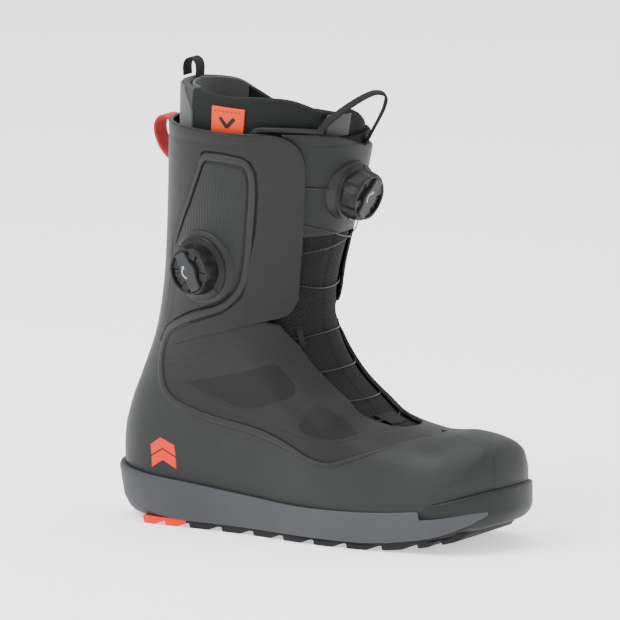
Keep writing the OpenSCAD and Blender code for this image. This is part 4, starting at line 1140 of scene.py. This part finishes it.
def tread():
    xs = np.linspace(-150, 148, 150)
    outer, inner = sole_half(xs, 0.2)
    draw = 9 * smooth(108, 130, xs)
    outer, inner = outer + draw, inner - draw

    def outer_y(x):
        return float(np.interp(x, xs, outer))

    def inner_y(x):
        return float(np.interp(x, xs, inner))

    def line(y):
        return lambda x: y

    made, orange = [], []
    limits = HEEL_LUGS + [(a, b - LUG_GAP) for a, b in zip(LUG_STARTS, LUG_STARTS[1:] + [128 + LUG_GAP])]
    for k, (a, b) in enumerate(limits):
        heel = k < 2
        mat, look = (ACCENT.mat, "accent_rubber") if heel else (TREAD.mat, "tread_rubber")
        if b <= 99:
            parts = [(outer_y, line(-16.0)), (line(-13.0), line(13.0)), (line(16.0), inner_y)]
            cuts = [(a, b)]
        else:
            parts = [(outer_y, inner_y)]
            cuts = [(a, 114), (115, b)]
        for m, (x0, x1) in enumerate(cuts):
            for q, (y0, y1) in enumerate(parts):
                (orange if heel else made).append(
                    lug(f"tread_block_{k}_{m}_{q}", x0, x1, y0, y1, 0.0, 3.4, mat))
    # the web that carries the blocks
    for name, x0, x1, mat, look, group in (("tread_web", -84.5, 128, TREAD.mat, "tread_rubber", made),
                                             ("heel_tread_web", -119, -84.5, ACCENT.mat, "accent_rubber",
                                              orange)):
        group.append(lug(name, x0, x1, outer_y, inner_y, 3.0, 5.4, mat, 0.2, 0.0, 0.0))
    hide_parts("outsole")
    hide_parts("heel_tread")


# ---- Liner -----------------------------------------------------------------------------------
LINER_TOP = [(0, 15.1), (50, 15.05), (80, 14.95), (105, 15), (125, 14.95), (148, 14.6)]
LINER_TOP_IN = [(0, 15.1), (30, 14.97), (43, 14.84), (56, 14.5), (70, 14.2), (100, 14.1), (148, 14.1)]


def liner_top(phi):
    p = np.mod(phi, 360)
    return np.where(p > 180, curve(LINER_TOP_IN, 360 - p), curve(LINER_TOP, p))


def padded_panel(name, phis, low, high, rows, lo, hi, material, slot, edge, lift=None, **more):
    phi, level = grid(phis, low, high, rows)
    extra = 0 if lift is None else lift(phi, level)
    obj = panel(name, phi, level, lo, hi + extra, material, slot, edge=edge, both=True, **more)
    return obj


def liner():
    phis = -146 + 292 * ticks(420, 1.8, 3.0)
    top = liner_top(phis)
    rows = ticks(230, 1.8, 3.0)

    def seams(phi, level):
        p = skin(phi, level, -8)
        lift = np.zeros(phi.shape)
        for a in (44, 96, 126):
            for s in (1, -1):
                lift += groove(p, [(s * a, 13.6), (s * (a + 1.5), 15.2)], 2.2, 0.7)
        lift += 0.5 * np.sin(math.pi * np.clip((level - 13.9) / 1.0, 0, 1))
        return lift

    phi, level = grid(phis, np.full(len(phis), 11.9), top, rows)
    felted = smooth(53, 49, np.abs(phi)) * smooth(13.5, 13.6, level)
    cuff = padded_panel("liner_cuff_pad", phis, np.full(len(phis), 11.9), top, rows, -14.6, -8.8, KNIT.mat,
                        "liner_foam", 2.6, seams, masks={"felt": felted})
    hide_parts("liner_cuff")
    # the lining inside it
    phis = np.linspace(-145, 145, 160)
    phi, level = grid(phis, np.full(160, 1.2), liner_top(phis) - 0.07, ticks(260, 2.5, 0.7))
    lining = panel("inner_lining", phi, level, -15.8, -14.5, LINING.mat, "lining", edge=0.4, both=True)
    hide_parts("liner_lining")
    # heel collar of felt
    phis = -47 + 94 * ticks(80, 1.2, 1.0)
    low = np.full(len(phis), 13.6)
    phi, level = grid(phis, low, liner_top(phis) - 0.03, ticks(50, 1.2, 1.0))
    # its front edge leans back towards the top
    phi = phi * table([(13.6, 1.14), (14.35, 1.12), (14.6, 1.04), (15.05, 0.84)], level)
    level = np.minimum(level, liner_top(phi) - 0.03)
    full = 0.25 * np.sin(math.pi * np.clip((level - 13.6) / 1.5, 0, 1))
    felt = panel("felt_heel_collar", phi, level, -8.9, -7.6 + full, FELT.mat, "felt", edge=0.8)
    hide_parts("liner_heel_collar")
    phis = -47 + 94 * ticks(70, 1.2, 1.0)
    low = liner_top(phis) - 0.5 - 0.5 * (1 - np.abs(phis) / 47)
    phi, level = grid(phis, low, liner_top(phis) - 0.03, ticks(20, 1.2, 1.0))
    panel("felt_inner_collar", phi, level, -17.2, -15.6, FELT.mat, "felt", edge=0.5, both=True)
    # tongue
    phis = 147 + 66 * ticks(70, 1.4, 3.0)
    high = 14.65 - 0.45 * (np.abs(phis - 180) / 33)**4 - 0.45 * smooth(168, 200, phis)
    tongue = padded_panel("liner_tongue_pad", phis, np.full(len(phis), 7.05), high, ticks(230, 1.6, 3.0),
                          -14.6, -8.8,
                          KNIT.mat, "liner_foam", 2.6)
    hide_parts("liner_tongue")
    # a grey facing at the tongue's outer corner
    u, v = np.meshgrid(ticks(30, 1.0, 0.8), ticks(16, 1.0, 0.8))
    panel("tongue_facing", 150 + 21 * u, 13.95 + 0.58 * v, -9.2, -8.0, FELT.mat, "felt", edge=0.7)
    # the foot part, out of sight but for the view down the shaft
    phis = np.arange(0, 360, 5.0)
    phi, level = grid(phis, np.full(len(phis), 0.5), np.full(len(phis), 7.0), ticks(120, 4, 0))
    foot = panel("liner_foot_wall", phi, level, -14.6, -8.8, KNIT.mat, "liner_foam", edge=0.5,
                 closed=True, sides="", keep=2)
    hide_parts("liner_foot")


def orange_tag():
    """The stitched tag on the liner, with a plain chevron."""
    u, v = np.meshgrid(ticks(26, 0.8, 0.5), ticks(19, 0.8, 0.5))
    phi = 71.5 + 23 * u
    level = 13.85 + 0.82 * v - 0.03 * u
    label = panel("liner_tag_leather", phi, level, -8.4, -7.1, TAG.mat, "tag", edge=0.4)
    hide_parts("liner_tag")
    for k in range(7):
        a = 74 + 2.8 * k
        stitch("tag_stitch_%d" % k, [(a, 14.53), (a + 1.2, 14.527)], -7.05, THREAD.mat, "tag")
    # a plain chevron
    for k, s in enumerate((-1, 1)):
        line = [(83, 14.1), (83 + 5 * s, 14.34)]
        skin_sweep("tag_chevron_%d" % k, line, flat_band(2.6, 0.5), DARK_THREAD.mat, "tag", step=0.8,
                   out=-7.0)


def stitch(name, line, out, material, slot):
    """One stitch: a short arched thread between the line's two ends."""
    at = path(line, np.linspace(0, 1, 7))
    arch = 0.25 * np.sin(np.linspace(0, math.pi, 7))
    points = skin(at[:, 0], at[:, 1], out + arch)
    along = frames(points)
    side = unit(np.cross(along, np.array([0.3, 0.2, 1.0])))
    return sweep(name, points, side, unit(np.cross(side, along)), circle(0.22, 6), material, slot)


def footbed():
    """The removable insole inside the liner."""
    phis = np.arange(0, 360, 3.0)
    r = np.concatenate([np.linspace(0.02, 0.95, 16), [0.98, 1.0]])
    edge_line = skin(phis, 1.0, -17.8)[:, :2]
    mid = np.array([0.0, 0.0])
    pts, n = [], len(phis)
    for k in r:
        q = mid + (edge_line - mid) * k
        rise = 1.2 * k**4
        pts += [(x, y, 39.6 + rise) for x, y in q]
    pts += [(x, y, 36.6) for x, y in edge_line]
    pts = np.array(pts)
    faces = facing(pts, ring_faces(len(r) + 1, n), (0, 0, 1))
    obj = piece("shaped_footbed", pts, faces, FOOTBED.mat, uv=pts[:, :2])
    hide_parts("footbed")


# ---- Webbing loops -----------------------------------------------------------------------------
def strap(name, points, across, width, thick, material, slot, body=None, step=1.0, turned=None):
    """Webbing along the points, its width along across, turning to turned at the far end."""
    at = even_path(points, step)
    along = frames(at)
    t = smooth(0.2, 0.9, np.linspace(0, 1, len(at)))[:, None]
    turned = across if turned is None else turned
    across = np.asarray(across, float) * (1 - t) + np.asarray(turned, float) * t
    across = unit(across - along * (across * along).sum(1, keepdims=True))
    return sweep(name, at, across, unit(np.cross(across, along)), flat_band(width, thick), material, slot,
                 body=body)


def loops():
    loop = strap("heel_pull_loop", [(-115.6, 0, 271), (-116.8, 0, 274), (-119.6, 0, 275.6),
                                    (-124.2, 0, 274.8), (-127.6, 0, 270), (-127.4, 0, 263),
                                    (-124, 0, 255), (-119.6, 0, 249.6), (-116.2, 0, 247.2)],
                 (0, 1, 0), 16, 1.7, RED_WEB.mat, "webbing_red", body=None)
    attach(loop, "heel_loop")
    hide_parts("heel_loop")
    for name, line in (("heel_loop_tail_low", [(-116.4, 0, 247.2), (-115.2, 0, 244.5), (-115.2, 0, 238),
                                               (-115.3, 0, 231)]),
                       ("heel_loop_tail_top", [(-113.9, 0, 271.8), (-113.2, 0, 274), (-113, 0, 276.5)])):
        strap(name, line, (0, 1, 0), 16, 1.5, RED_WEB.mat, "webbing_red", body="root")
    loop = strap("liner_pull_loop", [(-106.2, 0, 304.5), (-106.4, 0, 311), (-104.8, 0, 315),
                                     (-101.4, 0, 316.6),
                                     (-98, 0, 315), (-96.4, 0, 311), (-96.6, 0, 304.5)],
                 (0, 1, 0), 11, 1.4, BLACK_WEB.mat, "webbing_black", body=None)
    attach(loop, "liner_loop")
    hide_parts("liner_loop")
    strap("liner_loop_tail", [(-105.9, 0, 302.6), (-105.4, 0, 298), (-105.4, 0, 290)], (0, 1, 0), 11, 1.3,
          BLACK_WEB.mat, "webbing_black", body="root")
    across = np.array([0.8, -0.5, -0.35])
    pull = strap("tongue_pull_strap",
                 [(18.5, -36.5, 281), (22, -31, 287), (28.5, -21, 294.5), (36, -12, 301),
                  (42, -4.5, 304.5), (45.8, 1.5, 303.5), (46, 5, 299.5), (42.8, 7.2, 292),
                  (38.6, 7.8, 284.5), (35, 7.4, 278), (31.6, 6.8, 271.5), (29, 6.4, 267.5)],
                 across / np.linalg.norm(across), 6.4, 1.6, BLACK_WEB.mat, "webbing_black", body=None,
                 turned=(0.5, -0.85, -0.1))
    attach(pull, "tongue_strap")
    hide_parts("tongue_strap")


# ---- Dials -------------------------------------------------------------------------------------
SIDE_DIAL = ((-66, -49.2, 182.5), -98.5, 4.5)
FRONT_DIAL = ((25.8, -6.9, 236.5), -6.5, 13.5)
COLLAR_TOP = 1.8


def dial_frame(dial):
    """Rows: the dial's two in-plane directions and its axis; and its centre."""
    centre, heading, tilt = dial
    h, t = math.radians(heading), math.radians(tilt)
    axis = np.array([math.cos(h) * math.cos(t), math.sin(h) * math.cos(t), -math.sin(t)])
    across = unit(np.cross(np.array([0, 0, 1.0]), axis))
    return np.stack([across, np.cross(axis, across), axis]), np.array(centre, float)


def lathe(name, dial, rings, material, body, n=96, shape=None, crease=35):
    """A solid of revolution on the dial's axis from (radius, height) points; radius 0 closes it.
    shape(angle, radius, height) may change radius and height round the axis."""
    turn, centre = dial_frame(dial)
    angles = np.linspace(0, 2 * math.pi, n, endpoint=False)
    pts, index = [], []
    for r, z in rings:
        if r == 0:
            index.append([len(pts)] * n)
            pts.append((0, 0, z))
            continue
        row = []
        for a in angles:
            rr, zz = (r, z) if shape is None else shape(a, r, z)
            row.append(len(pts))
            pts.append((rr * math.cos(a), rr * math.sin(a), zz))
        index.append(row)
    loop = rings[0][0] != 0
    faces = []
    pairs = list(zip(index, index[1:])) + ([(index[-1], index[0])] if loop else [])
    for lo, hi in pairs:
        for k in range(n):
            m = (k + 1) % n
            f = [lo[k], lo[m], hi[m], hi[k]]
            f = [v for i, v in enumerate(f) if v != f[i - 1]]
            if len(f) > 2:
                faces.append(f)
    pts = np.array(pts)
    signed = 0.0
    for f in faces:
        for i in range(1, len(f) - 1):
            signed += np.dot(pts[f[0]], np.cross(pts[f[i]], pts[f[i + 1]]))
    if signed < 0:
        faces = [f[::-1] for f in faces]
    world = pts @ turn + centre
    return piece(name, world, faces, material, body, uv=pts[:, :2], crease=crease)


def plate(name, dial, outline, z0, z1, material, body, bevel=0.4):
    """A flat plate with a bevelled top, cut to an outline in the dial's plane."""
    turn, centre = dial_frame(dial)
    o = np.array(outline, float)
    d = unit(np.roll(o, -1, 0) - np.roll(o, 1, 0))
    inward = np.stack([-d[:, 1], d[:, 0]], -1)
    area = 0.5 * np.sum(o[:, 0] * np.roll(o[:, 1], -1) - np.roll(o[:, 0], -1) * o[:, 1])
    inward *= np.sign(area)
    layers = [(o, z0), (o, z1 - bevel), (o + inward * bevel * 0.4, z1 - bevel * 0.35),
              (o + inward * bevel, z1)]
    pts = np.concatenate([np.column_stack([q, np.full(len(q), z)]) for q, z in layers])
    faces = ring_faces(len(layers), len(o))
    if area < 0:
        faces = [f[::-1] for f in faces]
    return piece(name, pts @ turn + centre, faces, material, body, uv=pts[:, :2], crease=30)


def rounded_outline(corners, r=1.0, n=5):
    """A closed outline with its corners rounded."""
    pts = []
    m = len(corners)
    for i in range(m):
        a, b, c = (np.array(corners[(i + k) % m], float) for k in (-1, 0, 1))
        p, q = b + unit(a - b) * r, b + unit(c - b) * r
        for t in np.linspace(0, 1, n):
            pts.append((1 - t)**2 * p + 2 * t * (1 - t) * b + t * t * q)
    return pts


def seat(dial, radii, heights, material, name):
    """The moulded ring under a dial: it follows the skin outside and the dial's plane inside."""
    n, sunk = 120, 1.6
    turn, centre = dial_frame(dial)
    angles = np.linspace(0, 2 * math.pi, n, endpoint=False)
    a, r = np.meshgrid(angles, radii)
    want = np.stack([r * np.cos(a), r * np.sin(a)], -1)
    phi = np.full(a.shape, 77.0 if dial is SIDE_DIAL else 176.0)
    level = np.full(a.shape, 11.44 if dial is SIDE_DIAL else 12.9)
    for _ in range(12):
        p = (skin(phi, level) - centre) @ turn.T
        dp = (skin(phi + 0.2, level) - centre) @ turn.T
        dl = (skin(phi, level + 0.01) - centre) @ turn.T
        j = np.stack([(dp - p)[..., :2] / 0.2, (dl - p)[..., :2] / 0.01], -1)
        miss = want - p[..., :2]
        move = np.linalg.solve(j, miss[..., None])[..., 0]
        phi = np.clip(phi + np.clip(move[..., 0], -8, 8), 20, 330)
        level = np.clip(level + np.clip(move[..., 1], -0.6, 0.6), 9, 14.5)
    p = (skin(phi, level) - centre) @ turn.T
    on, to_plane = np.array([h[0] for h in heights])[:, None], np.array([h[1] for h in heights])[:, None]
    top = p[..., 2] + on
    top = top * (1 - to_plane) + (COLLAR_TOP + np.array([h[2] for h in heights])[:, None]) * to_plane
    low = p[..., 2] - sunk
    m = len(radii)
    pts = np.concatenate([np.stack([want[..., 0], want[..., 1], top], -1).reshape(-1, 3),
                          np.stack([*np.moveaxis(want[[0, -1]], -1, 0), low[[0, -1]]], -1).reshape(-1, 3)])
    faces = [[strip * n + k, (strip + 1) * n + k, (strip + 1) * n + (k + 1) % n, strip * n + (k + 1) % n]
             for strip in range(m - 1) for k in range(n)]
    b = m * n
    for k in range(n):
        q = (k + 1) % n
        faces += [[k, q, b + q, b + k], [(m - 1) * n + q, (m - 1) * n + k, b + n + k, b + n + q],
                  [b + k, b + q, b + n + q, b + n + k]]
    faces = facing(pts, faces, (0, 0, 1))
    return piece(name, pts @ turn + centre, faces, material, uv=pts[:, :2], crease=40)


def arc(r, a0, a1, n=8):
    """Points on a circle of radius r, from one angle to the other."""
    return [(r * math.cos(math.radians(a)), r * math.sin(math.radians(a))) for a in np.linspace(a0, a1, n)]


def dial(tag, place, flange_r, knob, turn_deg):
    """A lace dial: seat, housing and, riding on the knob, its barrel, spokes, teeth, cap and arrow."""
    if place is SIDE_DIAL:
        radii = [18, 20, 21.6, 22.4, 23, 23.8, 24.6, 25.1, 25.5]
        heights = [(0.5, 1, -0.1), (0.5, 1, -0.1), (0.6, 1, -0.1), (0.9, 0.85, -0.5), (1.0, 0.6, -0.4),
                   (1.0, 0.3, 0),
                   (0.95, 0.08, 0), (0.8, 0, 0), (0.3, 0, 0)]
    else:
        radii = [15, 17, 18.5, 19.2, 19.8, 20.3, 20.7, 21]
        heights = [(0.5, 1, -0.1), (0.5, 1, -0.1), (0.6, 1, -0.1), (0.4, 0.8, -0.4), (0.3, 0.45, -0.2),
                   (0.2, 0.15, 0),
                   (0, 0, 0), (-0.5, 0, 0)]
    ring = seat(place, radii, heights, RIB_COAT.mat, f"{tag}_seat")
    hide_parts(f"{tag}_collar")

    notch = [math.radians(turn_deg + a) for a in (20, 200)]

    def flange_shape(a, r, z):
        for c in notch:
            d = abs((a - c + math.pi) % (2 * math.pi) - math.pi)
            if d < 0.05 and z > 2.4 and r > 16:
                return r - 0.25, z - 0.5
        return r, z

    f = flange_r
    housing = lathe(f"{tag}_housing_shell", place,
                    [(f - 4, COLLAR_TOP + 0.1), (f - 0.4, COLLAR_TOP + 0.1), (f, COLLAR_TOP + 0.5), (f, 3.0),
                     (f - 0.3, 3.5), (f - 0.9, 3.8), (f - 2.4, 4.1), (f - 3.0, 4.6), (16.4, 5.2),
                     (15.9, 6.0), (15.7, 8.4),
                     (15.3, 8.8), (14.4, 8.8), (14.0, 8.4), (14.0, 3.9), (3, 3.9), (3, 2.4), (f - 4, 2.4)],
                    PLASTIC.mat, "root", n=180, shape=flange_shape)
    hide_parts(f"{tag}_housing")

    def grip(a, r, z):
        if r < 16.2 or z < 4.6:
            return r, z
        k = 6
        t = ((a * k / (2 * math.pi)) % 1.0 - 0.5) * 2
        dip = 1.5 * math.exp(-(t / 0.34)**2)
        ribs = 0.16 * math.cos(a * 72) * (1 - math.exp(-(t / 0.5)**2))
        fade = min((z - 4.6) / 1.5, 1)
        return r - dip * fade + ribs * (1 if z < 14.4 else 0), z

    barrel = lathe(f"{tag}_knob_barrel", place,
                   [(16.9, 4.3), (17.3, 4.3), (17.5, 4.9), (17.55, 6.5), (17.4, 9), (17.2, 11.5),
                    (16.9, 13.6), (16.6, 14.8), (16.2, 15.5), (15.5, 15.8), (14.6, 15.8), (14.1, 15.5),
                    (13.9, 15.0), (13.8, 13.2), (13.4, 13.0), (9.5, 12.9), (9.0, 13.1), (5.2, 13.1),
                    (5.2, 11.2), (16.2, 11.2), (16.4, 10.6), (16.6, 5)],
                   PLASTIC.mat, knob, n=216, shape=grip)
    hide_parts(f"{tag}_knob")
    # raised grips with a window through each gap
    for k in range(4):
        a = turn_deg + 45 + 90 * k
        tab = rounded_outline(arc(14.6, a - 13, a + 13, 5) + arc(8.6, a + 17, a - 17, 5), 0.8, 3)
        plate(f"{tag}_spoke_{k}", place, tab, 12.8, 15.2 if k % 2 else 14.6, PLASTIC.mat,
              knob)
    lathe(f"{tag}_window_teeth", place, [(8.8, 13.0), (13.7, 13.0), (13.7, 13.25), (8.8, 13.25)],
          CAP.mat,
          knob, n=144, shape=lambda a, r, z: (r, z + (0.5 if z > 13.1 and math.sin(24 * a) > 0 else 0)))
    bow = []
    for a in (turn_deg, turn_deg + 180):
        bow += arc(14.0, a - 19, a + 19, 7) + arc(7.8, a + 38, a + 39, 2)[:1]
        bow += arc(6.6, a + 70, a + 110, 4) + arc(7.8, a + 141, a + 142, 2)[:1]
    cap = plate(f"{tag}_cap_plate", place, bow, 13.0, 16.9, CAP.mat, knob, bevel=0.7)
    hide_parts(f"{tag}_cap")
    # a plain turning arrow on the cap
    sweep_arc = arc(4.6, turn_deg + 30, turn_deg + 150, 12)
    band = sweep_arc + arc(3.7, turn_deg + 150, turn_deg + 30, 12)
    plate(f"{tag}_arrow_arc", place, band, 16.8, 17.05, PRINT.mat, knob, bevel=0.05)
    tip = arc(4.15, turn_deg + 30, turn_deg + 31, 2)[0]
    t = math.radians(turn_deg + 30)
    head = [tuple(np.array(tip) + np.array([math.cos(t), math.sin(t)]) * 1.5),
            tuple(np.array(tip) + np.array([math.sin(t), -math.cos(t)]) * 2.4),
            tuple(np.array(tip) - np.array([math.cos(t), math.sin(t)]) * 1.5)]
    plate(f"{tag}_arrow_head", place, head, 16.8, 17.05, PRINT.mat, knob, bevel=0.05)


def hidden_nodes():
    """CAD nodes that stay as they are, each with its own finish."""
    for name, finish in {"heel_cushion": FOAM.mat, "lasting_board": BOARD.mat, "heel_counter": STIFF.mat,
                         "toe_puff": STIFF.mat,
                         "ankle_harness": HARNESS.mat, "side_dial_spool": PLASTIC.mat,
                         "side_dial_ratchet": CAP.mat,
                         "side_dial_screw": STEEL.mat, "front_dial_spool": PLASTIC.mat,
                         "front_dial_ratchet": CAP.mat,
                         "front_dial_screw": STEEL.mat}.items():
        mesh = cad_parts[name].data
        mesh.materials.clear()
        mesh.materials.append(finish)


def trims():
    """Backstay, collar binding and the like."""
    line = [(0.0, 2.2), (0.0, 5), (0.0, 8), (0.0, 10), (0.0, 12), (0.0, 13.2)]
    skin_sweep("backstay", line, crown(13, 0.55, -0.8, 9, 4), SHELL.mat, "shell", step=2.0, out=SHELL_TOP)
    for side, tag in SIDES:
        route = mirrored([(2, 13.98), (30, 13.98), (60, 13.98), (90, 13.99), (108, 14.03)], side)
        skin_sweep(f"{tag}_collar_lip", route, circle(1.0, 10), RIB_COAT.mat, "overlay", step=2.0, out=-2.4)
    route = [(98, 13.86), (101, 14.02), (104.5, 14.13), (112, 14.16), (124, 14.17), (134, 14.16),
             (146, 14.12)]
    skin_sweep("tongue_lip", route, flat_band(3.4, 2.2), SHIELD.mat, "overlay", step=1.5, out=-4.5)


lower_shell()
for side, tag in SIDES:
    upper(side, tag)
    under_band(side, tag)
    recess(side, tag)
quarters()
windows()
heel_mark()
outer_tongue()
front_shield()
lacing()
midsole()
toe_bumper()
tread()
liner()
orange_tag()
footbed()
loops()
dial("side_dial", SIDE_DIAL, 22, "side_knob", 118)
dial("front_dial", FRONT_DIAL, 20, "front_knob", 60)
hidden_nodes()
trims()

# ---- Stage -----------------------------------------------------------------------------
def stage():
    """A plain light floor, wide enough for every view."""
    f = Finish("studio floor", srgb(248, 248, 248), 0.9, 0.1)
    f.tint(f.noise(3, 2), srgb(250, 250, 250))
    f.set(f.shader, "Emission Color", srgb(250, 250, 250))
    f.set(f.shader, "Emission Strength", 0.8)
    mesh = bpy.data.meshes.new("floor")
    half = 30.0
    mesh.from_pydata([(-half, -half, 0), (half, -half, 0), (half, half, 0), (-half, half, 0)], [],
                     [(0, 1, 2, 3)])
    mesh.materials.append(f.mat)
    floor = bpy.data.objects.new("studio_floor", mesh)
    bpy.context.scene.collection.objects.link(floor)


stage()


def lamp(name, place, target, size, power):
    """A rectangular lamp at place, turned towards target."""
    data = bpy.data.lights.new(name, "AREA")
    data.shape = "RECTANGLE"
    data.size, data.size_y = size
    data.energy = power
    obj = bpy.data.objects.new(name, data)
    bpy.context.scene.collection.objects.link(obj)
    obj.location = place
    obj.rotation_euler = (Vector(target) - Vector(place)).to_track_quat("-Z", "Y").to_euler()


# The camera stands far off with a long lens, so that the view is close to a parallel one
CAMERA_TURN, CAMERA_RISE, CAMERA_AWAY = 30, 10, 14.0
az = math.radians(CAMERA_TURN)
right = Vector((math.cos(az), math.sin(az), 0))
toward = Vector((math.sin(az), -math.cos(az), 0))
lamp("key", right * -1.3 + toward * 0.6 + Vector((0, 0, 1.9)), (0, 0, 0.1), (1.4, 1.4), 50)
lamp("fill", right * 2.4 + toward * 0.2 + Vector((0, 0, 1.0)), (0, 0, 0.12), (1.2, 1.2), 9)
lamp("top", toward * -0.2 + Vector((0, 0, 2.2)), (0, 0, 0.1), (1.6, 1.6), 27)
world = bpy.data.worlds.new("studio") if not bpy.context.scene.world else bpy.context.scene.world
bpy.context.scene.world = world
world.use_nodes = True
world.node_tree.nodes["Background"].inputs[0].default_value = (1, 1, 1, 1)
world.node_tree.nodes["Background"].inputs[1].default_value = 1.36

camera = bpy.data.cameras.new("camera")
camera.sensor_width = 36
camera.lens = 1200
eye = bpy.data.objects.new("camera", camera)
bpy.context.scene.collection.objects.link(eye)
el = math.radians(CAMERA_RISE)
away = toward * math.cos(el) + Vector((0, 0, math.sin(el)))
aim = Vector((0, 0, 0.1513)) - right * 0.009
eye.location = aim + away * CAMERA_AWAY
eye.rotation_euler = (-away).to_track_quat("-Z", "Y").to_euler()
bpy.context.scene.camera = eye
